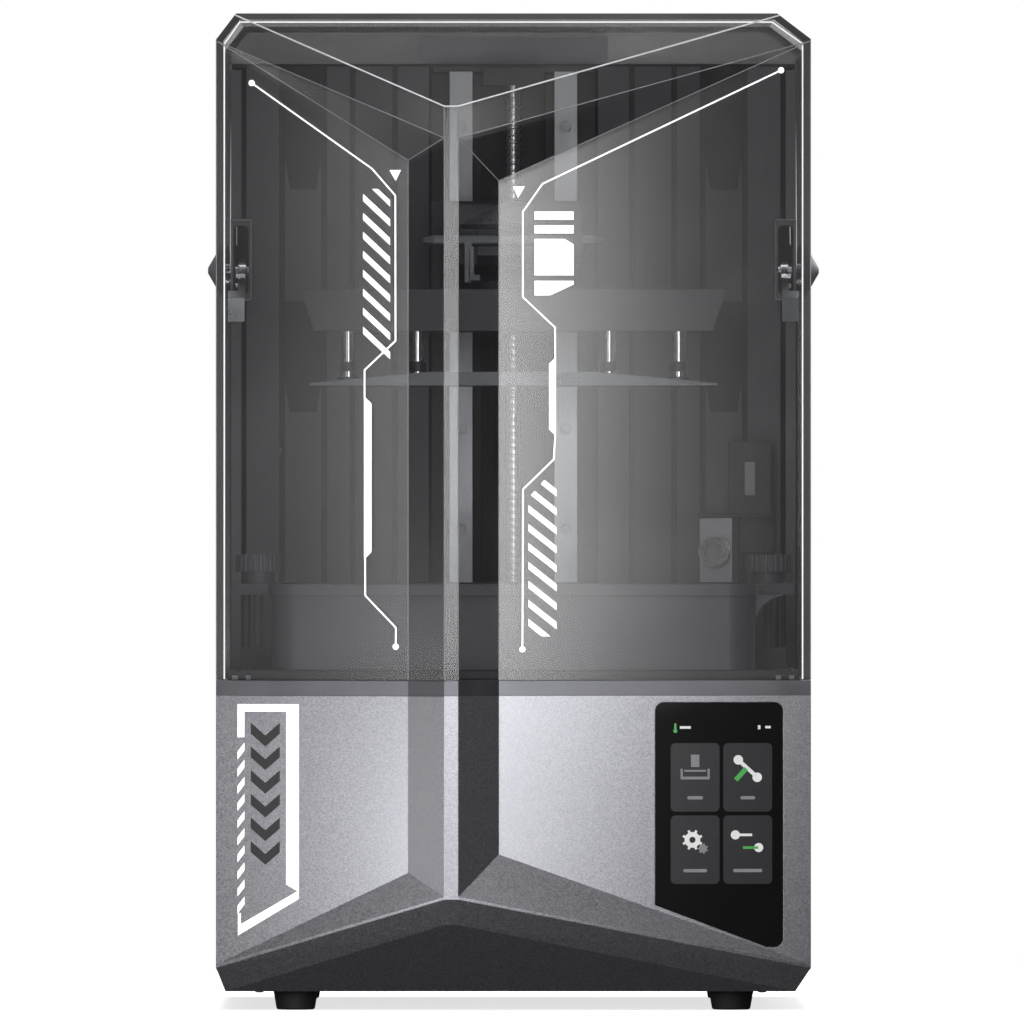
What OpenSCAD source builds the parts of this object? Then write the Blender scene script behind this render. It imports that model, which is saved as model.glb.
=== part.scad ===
// Resin 3D printer with a flip-up smoked lid over a tilting vat.
// Frame: millimetres, +Z up, the front faces -Y, origin under the middle of the bounding box.

/* [Body] */
// Width across the side walls
body_w = 326.8; // [324:0.2:330]
// Depth from the front crest to the rear panel
body_d = 329; // [327:1:332]
// Height from the table to the top of the lid
body_h = 548; // [546:1:552]
// Height of the rubber feet
foot_h = 10.7; // [9:0.1:12]
// Height of the joint between the base housing and the trim band
seam_z = 173.4; // [173:0.1:174]
// Wall thickness of the base housing
wall = 3; // [2.5:0.1:3.2]
// Wall thickness of the smoked lid
lid_wall = 3.8; // [3.4:0.1:3.9]
// How far the front crest stands ahead of the front corners
crest_depth = 38; // [34:1:40]

/* [Front facets] */
// Left line of the crest
crest_left_x = -37.9; // [-40:0.1:-36]
// Right line of the crest
crest_right_x = -30.2; // [-32:0.1:-28]
// Vertical fold of the left panel
left_fold_x = -57.7; // [-60:0.1:-55]
// How far the left fold is set back from the crest
left_fold_set = 11; // [9:0.5:12]
// Vertical fold of the right panel
right_fold_x = -8; // [-10:0.1:-6]
// How far the right fold is set back from the crest
right_fold_set = 20; // [17:0.5:22]

/* [Lid hinge] */
// Distance of the hinge axis behind the middle of the body
hinge_y = 115; // [114:0.5:116]
// Height of the hinge axis
hinge_z = 409.5; // [408:0.5:411]
// Slope of the lid's rear edge above the hinge
lid_edge_deg = 62.5; // [62:0.5:64]

/* [Printing bay] */
// Middle of the screen, vat and plate, front to back
bay_y = -25; // [-27:0.5:-23]
// Width of the vat outside
vat_w = 270; // [266:1:272]
// Depth of the vat outside
vat_d = 184; // [180:1:186]
// Height of the vat's rim
vat_top = 234.4; // [233:0.1:236]
// Height of the vat's underside
vat_bottom = 187.3; // [187.2:0.1:187.4]
// Width of the build plate
plate_w = 225; // [222:1:226]
// Depth of the build plate
plate_d = 126; // [122:1:128]
// Height of the build plate's face in the rest position
plate_z = 343.8; // [343:0.1:345]

/* [Lift] */
// Distance of the rail front from the middle of the body
rail_y = 93; // [92.5:0.5:93.5]
// Offset of each guide rail from the middle
rail_x = 29.4; // [28:0.1:31]
// Diameter of the lead screw
screw_d = 8; // [7:0.5:8]

/* [Hidden] */

half_w = body_w / 2;
y_front = -body_d / 2;
y_back = body_d / 2;
y_corner = y_front + crest_depth;
trim_top = seam_z + 8.3;
lid_bottom = trim_top + 0.3;
lid_in_x = half_w - lid_wall;
base_in_x = half_w - wall;

// Levels of the front facets on the lid (top) and on the base (bottom)
crest_top = 479;
left_fold_top = 467;
right_fold_top = 455.8;
corner_top = 533;
crest_low = 63.5;
left_fold_low = 76.5;
right_fold_low = 86.5;
corner_low = 25.5;
brow_z = 496.5;
brow_slope = 1.457;
brow_run = 60;

// Levels of the two chevrons that end the base above the feet
chevron_z = 62.1;
chevron_corner_z = 23.7;
chin_z = 47.9;
chin_back = 6;
left_keel_x = 5.1;
right_keel_x = 8.5;

// Chamfers along the lid's top edges
top_left = [11, 14.3];
top_right = [18.6, 14];

// Deck, screen and vat levels
deck_top = 186.5;
tray_top = 187;
lcd_top = 187.25;
deck_half = 157.2;
tray_w = 304;
tray_front = -114;
tray_rear = 78;
tilt_y = 86;
tilt_z = 181;
knob_x = 141.6;
knob_y = -22;
post_x = 148;

// Rear tower
tower_x = 158.6;
tower_front_y = 104.5;
tower_top = 525.6;
column_front_y = 100;
window_top = 437.8;
window_bottom = 393;

// Outlines ------------------------------------------------------------------------------------

module along_x(length) {
    rotate([90, 0, 90])
        linear_extrude(length, center = true) children();
}

module along_y(length) {
    rotate([90, 0, 0])
        linear_extrude(length, center = true) children();
}

// A rectangle with round corners, drawn with true arcs
module round_rect(w, d, r) {
    square([w - 2 * r, d], center = true);
    square([w, d - 2 * r], center = true);
    for (sx = [-1, 1], sy = [-1, 1])
        translate([sx * (w / 2 - r), sy * (d / 2 - r)]) circle(r = r, $fn = 32);
}

// A block given by its two corners
module block(p, q) {
    translate(p) cube(q - p);
}

module mirrored() {
    children();
    mirror([1, 0, 0]) children();
}

// Plan of the body without the folded panels
module wedge_plan() {
    polygon([
        [-half_w, y_corner], [crest_left_x, y_front], [crest_right_x, y_front],
        [half_w, y_corner], [half_w, y_back], [-half_w, y_back]
    ]);
}

// Plan of the body between the folds, as the trim band shows it
module folded_plan() {
    polygon([
        [-half_w, y_corner], [left_fold_x, y_front + left_fold_set], [crest_left_x, y_front],
        [crest_right_x, y_front], [right_fold_x, y_front + right_fold_set], [half_w, y_corner],
        [half_w, y_back], [-half_w, y_back]
    ]);
}

// The hollow that a folded panel leaves in the front: crest at cx, fold at fx and fy, corner at kx
module fold_cut(cx, fx, fy, kx, tops, lows) {
    reach = 10;
    polyhedron(
        points = [
            [cx, y_front, tops[0]], [cx, y_front, lows[0]], [fx, fy, tops[1]], [fx, fy, lows[1]],
            [kx, y_corner, tops[2]], [kx, y_corner, lows[2]],
            [cx, y_front - reach, tops[0]], [cx, y_front - reach, lows[0]],
            [kx, y_corner - reach, tops[2]], [kx, y_corner - reach, lows[2]]
        ],
        faces = [
            [6, 7, 9, 8], [2, 4, 5, 3], [0, 2, 3, 1], [0, 6, 8, 4], [0, 4, 2],
            [1, 5, 9, 7], [1, 3, 5], [0, 1, 7, 6], [4, 8, 9, 5]
        ]
    );
}

module fold_cuts() {
    fold_cut(crest_left_x, left_fold_x, y_front + left_fold_set, -half_w,
        [crest_top, left_fold_top, corner_top], [crest_low, left_fold_low, corner_low]);
    mirror([1, 0, 0])
        fold_cut(-crest_right_x, -right_fold_x, y_front + right_fold_set, -half_w,
            [crest_top, right_fold_top, corner_top], [crest_low, right_fold_low, corner_low]);
}

// Section across the lid, shrunk by the given inset on both sides and the top
module lid_section(inset) {
    k = inset * 0.45;
    polygon([
        [-half_w + inset, seam_z], [half_w - inset, seam_z],
        [half_w - inset, body_h - top_right[1] - k],
        [half_w - top_right[0] - k, body_h - inset],
        [-half_w + top_left[0] + k, body_h - inset],
        [-half_w + inset, body_h - top_left[1] - k]
    ]);
}

// Everything above the sloped brow at the top of the front
module brow_cut() {
    low = brow_z - 20 * brow_slope;
    high = brow_z + brow_run * brow_slope;
    along_x(body_w + 20)
        polygon([[y_front - 20, low], [y_front + brow_run, high], [y_front - 20, high]]);
}

module lid_envelope() {
    difference() {
        intersection() {
            translate([0, 0, seam_z]) linear_extrude(body_h) wedge_plan();
            along_y(body_d + 60) lid_section(0);
        }
        brow_cut();
        fold_cuts();
    }
}

// The keel of the base: two chevrons, the slanted band between them and the undercut
module keel() {
    chin_y = y_front + chin_back;
    low_y = chin_y + (chin_z - foot_h);
    core = 100;
    hull() polyhedron(
        points = [
            [-half_w, y_corner, chevron_corner_z], [crest_left_x, y_front, chevron_z],
            [crest_right_x, y_front, chevron_z], [half_w, y_corner, chevron_corner_z],
            [-half_w + left_keel_x, low_y, foot_h], [crest_left_x, chin_y, chin_z],
            [crest_right_x, chin_y, chin_z], [half_w - right_keel_x, low_y, foot_h],
            [-half_w, y_back, chevron_corner_z], [half_w, y_back, chevron_corner_z],
            [-half_w + left_keel_x, y_back, foot_h], [half_w - right_keel_x, y_back, foot_h],
            [-core, -core, core], [core, -core, core], [core, core, core], [-core, core, core]
        ],
        faces = [[for (i = [0:15]) i]]
    );
}

module base_envelope() {
    chevron_slope = (chevron_z - chevron_corner_z) / crest_depth;
    difference() {
        union() {
            difference() {
                translate([0, 0, chevron_corner_z])
                    linear_extrude(seam_z - chevron_corner_z) wedge_plan();
                along_x(body_w + 20)
                    polygon([
                        [y_front - 20, chevron_z + 20 * chevron_slope],
                        [y_corner, chevron_corner_z], [y_corner, 0], [y_front - 20, 0]
                    ]);
            }
            keel();
        }
        fold_cuts();
    }
}

// Places its children on the right front panel: x along the panel, y into the body, z up
module on_right_panel() {
    rise = crest_depth - right_fold_set;
    run = half_w - right_fold_x;
    translate([right_fold_x, y_front + right_fold_set, 0])
        rotate([0, 0, atan(rise / run)]) children();
}

// Base ----------------------------------------------------------------------------------------

screen_l = 86.6;
screen_r = 156.6;
screen_top = 169.4;
screen_low_l = 58.8;
screen_low_r = 35.6;
screen_r_corner = 4.4;

// Outline of the touch screen with its slanted lower edge
module screen_outline(grow) {
    l = screen_l - grow;
    r = screen_r + grow;
    t = screen_top + grow;
    c = screen_r_corner + grow;
    slant = (screen_low_l - screen_low_r) / (screen_r - screen_l);
    difference() {
        translate([(l + r) / 2, (t + screen_low_r - grow) / 2])
            round_rect(r - l, t - screen_low_r + grow, c);
        polygon([
            [l - 1, screen_low_l - grow + slant], [r - 7, screen_low_r - grow + 7 * slant - 3],
            [r - 7, screen_low_r - 20], [l - 1, screen_low_r - 20]
        ]);
    }
}

module base_housing() color("#77777b") {
    difference() {
        base_envelope();
        // hollow inside
        intersection() {
            translate([0, wall * 1.15, wall * 1.2]) base_envelope();
            block([-base_in_x, y_front, foot_h + 2], [base_in_x, y_back + 1, seam_z + 1]);
        }
        block([-base_in_x, y_corner + 8, chevron_corner_z + 2], [base_in_x, y_back + 1, seam_z + 1]);
        // mouth for the bottom plate
        block([-151, -108, foot_h - 1], [148, y_back + 1, foot_h + 20]);
        // window for the touch screen
        on_right_panel() translate([0, 2, 0]) along_y(20) screen_outline(0.3);
        // side vents
        for (side = [-1, 1], i = [0:8])
            translate([side * (half_w - wall / 2), 20 + i * 12, 60])
                rotate([-30, 0, 0]) cube([wall + 8, 4, 46], center = true);
    }
}

module bottom_plate() color("#2b2b2d") {
    difference() {
        block([-150.6, -107.6, foot_h], [147.6, y_back - 2.8, foot_h + 2]);
        for (x = [-1, 1], y = [-92, 128])
            translate([x * 120, y, 0]) cylinder(h = 30, d = 4.4, $fn = 24);
        for (i = [0:11])
            block([-60 + i * 10, -60, 0], [-56 + i * 10, 20, 30]);
    }
}

module rubber_feet() color("#161617") {
    for (x = [-1, 1], y = [-92, 128])
        translate([x * 120, y, 0])
            rotate_extrude($fn = 64)
                difference() {
                    polygon([
                        [0, 0], [9.6, 0], [10.3, 0.3], [10.65, 1], [12.35, foot_h], [2.1, foot_h],
                        [2.1, foot_h + 3.6], [0, foot_h + 3.6]
                    ]);
                    translate([-1, -1]) square([4, 4]);
                }
}

inlet_x = -112;
inlet_z = 52;
switch_x = -112;
switch_z = 84;
rocker_tilt = 11;
usb_x = -112;
usb_z = 116;
fan_x = 96;
fan_z = 72;
panel_t = 2.5;
panel_y = y_back - panel_t;

module rear_panel() color("#3c3c3f") {
    difference() {
        union() {
            block([-base_in_x + 0.2, panel_y, 24], [base_in_x - 0.2, y_back, seam_z]);
            block([-150.8, panel_y, foot_h + 2.1], [147.8, y_back, 24.1]);
        }
        translate([inlet_x, panel_y, inlet_z]) along_y(20) round_rect(27.4, 19.8, 1.5);
        translate([switch_x, panel_y, switch_z]) along_y(20) square([19.4, 13.2], center = true);
        translate([usb_x, panel_y, usb_z]) along_y(20) square([13.6, 7.2], center = true);
        // finger guard of the exhaust fan: rings of short slots between four spokes
        translate([fan_x, panel_y, fan_z]) along_y(20)
            difference() {
                circle(r = 27, $fn = 64);
                for (r = [8, 13, 18, 23])
                    difference() {
                        circle(r = r + 0.9, $fn = 64);
                        circle(r = r - 0.9, $fn = 64);
                    }
                circle(r = 4, $fn = 32);
                for (a = [45, 135]) rotate(a) square([60, 2], center = true);
            }
        for (i = [0:9])
            translate([-30 + i * 9, panel_y, 90]) along_y(20) round_rect(4, 60, 1.99);
    }
}

module trim_band() color("#5d5d61") {
    translate([0, 0, seam_z]) difference() {
        linear_extrude(trim_top - seam_z) folded_plan();
        translate([0, 0, -1]) linear_extrude(12) intersection() {
            translate([0, 5]) folded_plan();
            translate([-deck_half - 0.4, y_front]) square([2 * deck_half + 0.8, body_d - 3]);
        }
    }
}

module deck_frame() color("#37373a") {
    in_x = tray_w / 2 + 1.4;
    difference() {
        union() {
            block([-deck_half, y_corner + 10, deck_top - 4], [deck_half, tower_front_y, deck_top]);
            // side skirts with the flange that carries the deck on the base walls
            mirrored() {
                block([deck_half - 3, y_corner + 10, 168], [deck_half, tower_front_y, deck_top - 2]);
                block([deck_half - 3, y_corner + 12, 168], [base_in_x, tower_front_y, 172.6]);
            }
        }
        block([-in_x, tray_front - 0.8, 160], [in_x, tilt_y + 7, deck_top + 1]);
        // notch for the lift column
        block([-46.4, tilt_y, 160], [46.4, tower_front_y + 1, deck_top + 1]);
    }
}

module screen_glass() color("#0c0c0d") {
    on_right_panel() translate([0, 0.6, 0]) along_y(2.2) screen_outline(0);
}

module screen_module() color("#1d1d1f") {
    on_right_panel() {
        block([screen_l + 2, 1.7, screen_low_l + 6], [screen_r - 3, 9, screen_top - 3]);
        block([screen_l + 10, 9, screen_low_l + 20], [screen_r - 12, 14, screen_top - 20]);
    }
}

// Rear fittings -------------------------------------------------------------------------------

module power_inlet() color("#141415") {
    translate([inlet_x, y_back - 0.1, inlet_z]) difference() {
        translate([0, -12, 0]) along_y(24) round_rect(27, 19.4, 1.5);
        translate([0, -7.5, 0]) along_y(16) round_rect(24, 16, 2.5);
    }
    for (x = [-7, 0, 7])
        translate([inlet_x + x, y_back - 18, inlet_z + (x == 0 ? 4 : -1)])
            block([-1, -1, -2], [1, 14, 2]);
}

module switch_body() color("#19191a") {
    translate([switch_x, y_back - 8.1, switch_z]) difference() {
        along_y(16) square([19, 12.8], center = true);
        translate([0, 4.6, 0]) along_y(8) square([15.6, 10.4], center = true);
        translate([0, 3.1, 0]) rotate([0, 90, 0]) cylinder(h = 30, d = 1.7, center = true, $fn = 24);
    }
}

module switch_rocker() color("#232325") {
    translate([switch_x, y_back - 5, switch_z]) {
        rotate([rocker_tilt, 0, 0]) rotate([0, 90, 0]) linear_extrude(14.8, center = true)
            polygon([[-4.4, -1.2], [4.4, -1.2], [4.6, 2], [0, 1.3], [-4.6, 2]]);
        rotate([0, 90, 0]) cylinder(h = 18.4, d = 1.6, center = true, $fn = 24);
    }
}

module usb_port() color("#a9abb0") {
    translate([usb_x, y_back - 7.1, usb_z]) difference() {
        along_y(14) square([13.2, 6.8], center = true);
        translate([0, 2, 0]) along_y(14) square([12, 5.4], center = true);
    }
    block([usb_x - 5.4, y_back - 14, usb_z - 1.9], [usb_x + 5.4, y_back - 3, usb_z + 0.1]);
}

// A square axial fan frame standing in the XZ plane
module fan_frame(size, depth) {
    difference() {
        along_y(depth) round_rect(size, size, 4);
        along_y(depth + 2) circle(d = size - 4, $fn = 64);
        for (x = [-1, 1], z = [-1, 1])
            translate([x * (size / 2 - 4), 0, z * (size / 2 - 4)])
                along_y(depth + 2) circle(d = 3.4, $fn = 24);
    }
    difference() {
        translate([0, -depth / 2 + 1.25, 0]) along_y(2.5) {
            circle(d = size * 0.42, $fn = 48);
            for (a = [45, 135]) rotate(a) square([size - 3, 3], center = true);
        }
        along_y(depth + 2) circle(d = 3.2, $fn = 24);
    }
}

// A fan impeller standing in the XZ plane, with slanted blades
module fan_rotor(size, depth) {
    along_y(depth) circle(d = size * 0.4, $fn = 48);
    for (i = [0:6]) rotate([0, i * 360 / 7, 0])
        translate([size * 0.33 - 1, 0, 0])
            rotate([38, 0, 0]) cube([size * 0.26 + 1, depth - 1, 1.4], center = true);
    translate([0, -3, 0]) along_y(depth) circle(d = 3, $fn = 24);
}

module rear_fan_frame() color("#1b1b1c") {
    translate([fan_x, panel_y - 7.5, fan_z]) fan_frame(60, 15);
}

module rear_fan_rotor() color("#2a2a2c") {
    translate([fan_x, panel_y - 6.6, fan_z]) fan_rotor(54, 9);
}

module power_supply() color("#9a9ca0") {
    difference() {
        block([-148, 43, foot_h + 4], [-88, 137, foot_h + 40]);
        for (i = [0:9]) block([-140, 49 + i * 8, foot_h + 38], [-96, 53 + i * 8, foot_h + 42]);
    }
    for (x = [-142, -94], y = [52, 117])
        translate([x, y, foot_h + 2]) cylinder(h = 2, d = 8, $fn = 24);
}

module mainboard() color("#1f5a38") {
    translate([0, 0, foot_h + 8]) {
        block([-72, 60, 0], [36, 140, 1.6]);
        for (x = [-40, -14, 12]) block([x, 92, 1.6], [x + 12, 104, 7]);
        block([-66, 66, 1.6], [-44, 84, 5]);
        for (i = [0:5]) block([-66 + i * 16, 130, 1.6], [-56 + i * 16, 138, 10]);
    }
    for (x = [-69, 33], y = [63, 137])
        translate([x, y, foot_h + 2]) cylinder(h = 6, d = 5, $fn = 24);
}

// Light engine --------------------------------------------------------------------------------

light_w = 226;
light_d = 132;
lens_z = 142;

module light_housing() color("#242426") {
    translate([0, bay_y, 0]) difference() {
        translate([0, 0, 47.6]) linear_extrude(104.4) round_rect(light_w, light_d, 6);
        translate([0, 0, 40]) linear_extrude(130) round_rect(light_w - 6, light_d - 6, 3);
    }
    // legs down to the bottom plate
    translate([0, bay_y, 0]) for (x = [-1, 1], y = [-1, 1])
        block([x * 106 - 5, y * 64.4 - 1.6, foot_h + 2], [x * 106 + 5, y * 64.4 + 1.6, 47.7]);
    translate([0, bay_y, 0]) for (s = [-1, 1])
        block([-light_w / 2 + 2, s * 63 - 2.2, lens_z - 4], [light_w / 2 - 2, s * 63 + 2.2, lens_z - 0.1]);
}

module led_board() color("#d8d8d2") {
    translate([0, bay_y, 47.6]) {
        linear_extrude(2) square([light_w - 10, light_d - 10], center = true);
        for (i = [-5:5], j = [-2:2])
            translate([i * 19, j * 22, 2]) cylinder(h = 2.4, d = 6, $fn = 24);
    }
}

module heatsink() color("#b5b8bc") {
    translate([0, bay_y, 0]) {
        block([-100, -60, 43.4], [100, 60, 47.5]);
        for (i = [0:24]) block([-100 + i * 8.25, -60, 24], [-98.2 + i * 8.25, 60, 43.5]);
    }
}

module collimator_lens() color("#cfe0e8", 0.5) {
    translate([0, bay_y, lens_z]) linear_extrude(3) square([light_w - 8, light_d - 8], center = true);
}

fan2_y = 56.5;
fan2_z = foot_h + 22;

module light_fan_frame() color("#1b1b1c") {
    translate([62, fan2_y, fan2_z]) fan_frame(40, 12);
}

module light_fan_rotor() color("#2a2a2c") {
    translate([62, fan2_y + 1.2, fan2_z]) fan_rotor(35, 7);
}

// Tilting tray and vat ------------------------------------------------------------------------

module tilt_tray() color("#2f2f32") {
    half = tray_w / 2;
    difference() {
        union() {
            block([-half, tray_front, tray_top - 9], [half, tray_rear, tray_top - 3.4]);
            difference() {
                block([-half, tray_front, tray_top - 9], [half, tray_rear, tray_top]);
                block([-116, bay_y - 66, tray_top - 3.5], [116, bay_y + 66, tray_top + 1]);
            }
            // knuckles at the rear
            for (s = [-1, 1]) {
                block([s * 112 - 8, tray_rear - 2, tray_top - 11], [s * 112 + 8, tilt_y, tray_top - 1.2]);
                translate([s * 112, tilt_y, tilt_z]) rotate([0, 90, 0])
                    cylinder(h = 16, d = 10, center = true, $fn = 48);
            }
            // posts that carry the vat's ears
            for (s = [-1, 1]) {
                block([s * 143 - 8.5, knob_y - 15, tray_top - 2], [s * 143 + 8.5, knob_y + 15, 199]);
                translate([s * post_x, knob_y - 12, 198])
                    cylinder(h = vat_top - 6.6 - 198, d = 4, $fn = 32);
                translate([s * post_x, knob_y + 12, 198])
                    cylinder(h = vat_top - 6.6 - 198, d = 4, $fn = 32);
            }
        }
        // light window
        block([-109, bay_y - 59, tray_top - 20], [109, bay_y + 59, tray_top + 1]);
        for (s = [-1, 1]) {
            translate([s * 112, tilt_y, tilt_z]) rotate([0, 90, 0])
                cylinder(h = 40, d = 6.1, center = true, $fn = 48);
            translate([s * knob_x, knob_y, 190]) cylinder(h = 20, d = 5.4, $fn = 32);
        }
    }
}

module tilt_pins() color("#c9cbce") {
    for (s = [-1, 1])
        translate([s * 112, tilt_y, tilt_z]) rotate([0, 90, 0])
            cylinder(h = 30, d = 6, center = true, $fn = 48);
}

module tilt_brackets() color("#8d8f93") {
    for (s = [-1, 1], e = [-1, 1])
        translate([s * 112 + e * 11.5, 0, 0]) difference() {
            union() {
                translate([0, tilt_y, tilt_z]) rotate([0, 90, 0])
                    cylinder(h = 4, d = 11.4, center = true, $fn = 48);
                block([-2, tilt_y, tilt_z - 5.7], [2, tilt_y + 12, tilt_z]);
                block([-2, tilt_y + 7.2, tilt_z - 5.7], [2, tower_front_y - 1, deck_top - 4]);
            }
            translate([0, tilt_y, tilt_z]) rotate([0, 90, 0])
                cylinder(h = 8, d = 6.04, center = true, $fn = 48);
        }
}

rod_x = 128;
rod_y = -100;

module tilt_motor() color("#303033") {
    translate([rod_x, rod_y, 0]) difference() {
        union() {
            translate([0, 0, 92]) linear_extrude(28) round_rect(28, 28, 3);
            translate([0, 0, 120]) cylinder(h = 2, d = 22, $fn = 48);
            block([-14, -7.4, 88], [14, 14, 92]);
            for (s = [-1, 1]) block([s * 12 - 2, -7.4, foot_h + 2], [s * 12 + 2, 14, 89]);
        }
        translate([0, 0, 80]) cylinder(h = 60, d = 6.2, $fn = 48);
    }
}

module tilt_pushrod() color("#c4c6ca") {
    translate([rod_x, rod_y, 0]) {
        translate([0, 0, 100]) cylinder(h = 68, d = 6, $fn = 48);
        translate([0, 0, 166]) cylinder(h = 5.7, d = 12, $fn = 48);
        translate([0, 0, 171.6]) cylinder(h = 6.1, d1 = 12, d2 = 6, $fn = 48);
    }
}

module lcd_panel() color("#0a0a0c") {
    translate([0, bay_y, tray_top - 3.4])
        linear_extrude(lcd_top - tray_top + 3.4) square([231, 131], center = true);
}

// Flare on the vat's right wall, a concave lip that helps pouring
module vat_flare() {
    flare_r = 17.5;
    translate([vat_w / 2 - 4, -71, vat_top - 6.2 - flare_r]) along_y(50) difference() {
        square([flare_r, flare_r]);
        translate([flare_r + 2, -0.1]) circle(r = flare_r, $fn = 96);
    }
}

module vat_body() color("#3b3b3e") {
    in_w = vat_w - 12;
    in_d = vat_d - 12;
    difference() {
        union() {
            translate([0, bay_y + 3, vat_bottom]) linear_extrude(vat_top - 6 - vat_bottom)
                round_rect(vat_w - 4, vat_d - 4, 14);
            translate([0, bay_y + 3, vat_top - 6.4]) linear_extrude(6.4) round_rect(vat_w, vat_d, 16);
            for (s = [-1, 1])
                block([s * 141.8 - 13.8, knob_y - 17, vat_top - 6.4], [s * 141.8 + 13.8, knob_y + 17, vat_top]);
            vat_flare();
        }
        translate([0, bay_y + 3, vat_bottom + 6]) linear_extrude(60) round_rect(in_w, in_d, 12);
        // opening over the film
        translate([0, bay_y, vat_bottom - 1]) linear_extrude(20) round_rect(238, 138, 6);
        for (s = [-1, 1])
            translate([s * knob_x, knob_y, vat_top - 20]) cylinder(h = 30, d = 5.6, $fn = 32);
    }
}

module film_frame() color("#b4b6ba") {
    translate([0, bay_y, vat_bottom + 0.2]) difference() {
        linear_extrude(5.6) round_rect(237.4, 137.4, 5.8);
        translate([0, 0, -1]) linear_extrude(10) round_rect(229, 130, 4);
    }
}

module release_film() color("#dfe6ea", 0.4) {
    translate([0, bay_y, vat_bottom + 0.1]) linear_extrude(0.2) round_rect(228.8, 129.8, 4);
}

// A knurled thumb screw that clamps the vat, threaded shank below
module vat_knob() {
    translate([knob_x, knob_y, vat_top + 0.1]) {
        cylinder(h = 6.5, d = 19, $fn = 64);
        difference() {
            translate([0, 0, 6.4]) cylinder(h = 9.4, d = 25.2, $fn = 72);
            for (i = [0:23]) rotate([0, 0, i * 15])
                translate([13.2, 0, 5]) cylinder(h = 12, d = 2.2, $fn = 16);
            translate([0, 0, 14.6]) cylinder(h = 2, d = 16, $fn = 48);
        }
        translate([0, 0, 193 - vat_top]) cylinder(h = vat_top - 193 + 1, d = 5, $fn = 32);
    }
}

module vat_knob_left() color("#2c2c2e") {
    mirror([1, 0, 0]) vat_knob();
}

module vat_knob_right() color("#2c2c2e") {
    vat_knob();
}

// Rear tower ----------------------------------------------------------------------------------

module tower_cover() color("#3a3a3d") {
    back = y_back;
    difference() {
        along_x(2 * tower_x)
            polygon([
                [tower_front_y, trim_top], [back, trim_top], [back, tower_top - 14],
                [back - 10, tower_top], [tower_front_y, tower_top]
            ]);
        along_x(2 * tower_x - 4.4)
            polygon([
                [tower_front_y - 1, trim_top - 1], [back - 2.2, trim_top - 1], [back - 2.2, tower_top - 15],
                [back - 11, tower_top - 2.2], [tower_front_y - 1, tower_top - 2.2]
            ]);
        translate([0, hinge_y, hinge_z]) rotate([0, 90, 0])
            cylinder(h = 400, d = 8, center = true, $fn = 48);
        // rear vents
        for (x = [-96, 96], i = [0:11])
            translate([x, back, 300 + i * 11]) along_y(20) round_rect(70, 4, 1.9);
        // grip at the back of the tower
        translate([0, back, 480]) along_y(20) round_rect(90, 22, 8);
    }
}

rib_lines = [46, 66.5, 90.3, 106.3, 130];

module tower_front() color("#4c4c50") {
    difference() {
        union() {
            for (s = [-1, 1])
                block([s * 98.6 - 51.4, tower_front_y - 3.4, deck_top], [s * 98.6 + 51.4, tower_front_y, 524]);
        }
        for (s = [-1, 1], x = rib_lines)
            block([s * x - 1.5, tower_front_y - 4, deck_top + 4], [s * x + 1.5, tower_front_y - 1.6, 530]);
        // tapered hollows between the outer ribs
        for (s = [-1, 1], z = [[455, 530], [330, 392]])
            translate([s * 118.2, tower_front_y - 3.4, 0]) along_y(3)
                polygon([
                    [-10.2, z[1]], [10.2, z[1]], [10.2, z[0] + 18], [7.4, z[0]],
                    [-7.4, z[0]], [-10.2, z[0] + 18]
                ]);
        for (x = [-133, -71], z = [247.2, 308.4])
            translate([x, tower_front_y - 3.4, z]) along_y(2.4) circle(d = 6.4, $fn = 32);
        mirrored() block([146.5, tower_front_y - 6, window_bottom - 0.3], [151, tower_front_y + 1, window_top + 0.3]);
    }
    for (x = [-133, -71], z = [247.2, 308.4])
        translate([x, tower_front_y - 2.4, z]) difference() {
            along_y(2) circle(d = 6, $fn = 32);
            translate([0, -0.6, 0]) along_y(1.2) circle(d = 3, $fn = 6);
        }
}

module tower_cap() color("#6a6a6f") {
    translate([0, 0, tower_top]) difference() {
        block([-53, tower_front_y + 1, 0], [53, 125, 15.2]);
        block([-50, tower_front_y + 4, -1], [50, 122, 13]);
    }
}

// Column beside the tower panel, with the window that the lid's hinge arm passes through
module side_column() {
    difference() {
        union() {
            block([152.8, column_front_y - 4, deck_top], [tower_x, tower_front_y, 522]);
            translate([152.7, tower_front_y - 4.25, (window_top + window_bottom) / 2])
                along_y(8.5) round_rect(2 * (tower_x - 152.7), window_top - window_bottom, 3);
        }
        translate([152.9, tower_front_y - 4, (window_top + window_bottom) / 2])
            along_y(20) round_rect(8.4, window_top - window_bottom - 6, 3);
    }
}

module side_column_left() color("#6b6b70") {
    mirror([1, 0, 0]) side_column();
}

module side_column_right() color("#6b6b70") {
    side_column();
}

// Full-width cheeks below the hinge that close the lid's sides at the back
module side_cheeks() color("#4a4a4e") {
    for (s = [-1, 1])
        difference() {
            translate([s * (tower_x + half_w) / 2, 0, 0]) along_x(half_w - tower_x)
                polygon([
                    [hinge_y + 0.6, trim_top], [y_back, trim_top], [y_back, hinge_z - 3],
                    [y_back - 3, hinge_z - 0.6], [hinge_y + 0.6, hinge_z - 0.6]
                ]);
            translate([0, hinge_y, hinge_z]) rotate([0, 90, 0])
                cylinder(h = 400, r = 16.6, center = true, $fn = 96);
        }
}

// Lift ----------------------------------------------------------------------------------------

module lift_column() color("#232325") {
    difference() {
        block([-46, column_front_y, 150], [46, 136, tower_top - 6]);
        block([-18, column_front_y - 1, 149], [18, 128, tower_top]);
        for (s = [-1, 1]) block([s * 32 - 10, 108, 149], [s * 32 + 10, 130, tower_top]);
    }
}

rail_bottom = 232;
rail_top = 521;

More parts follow.
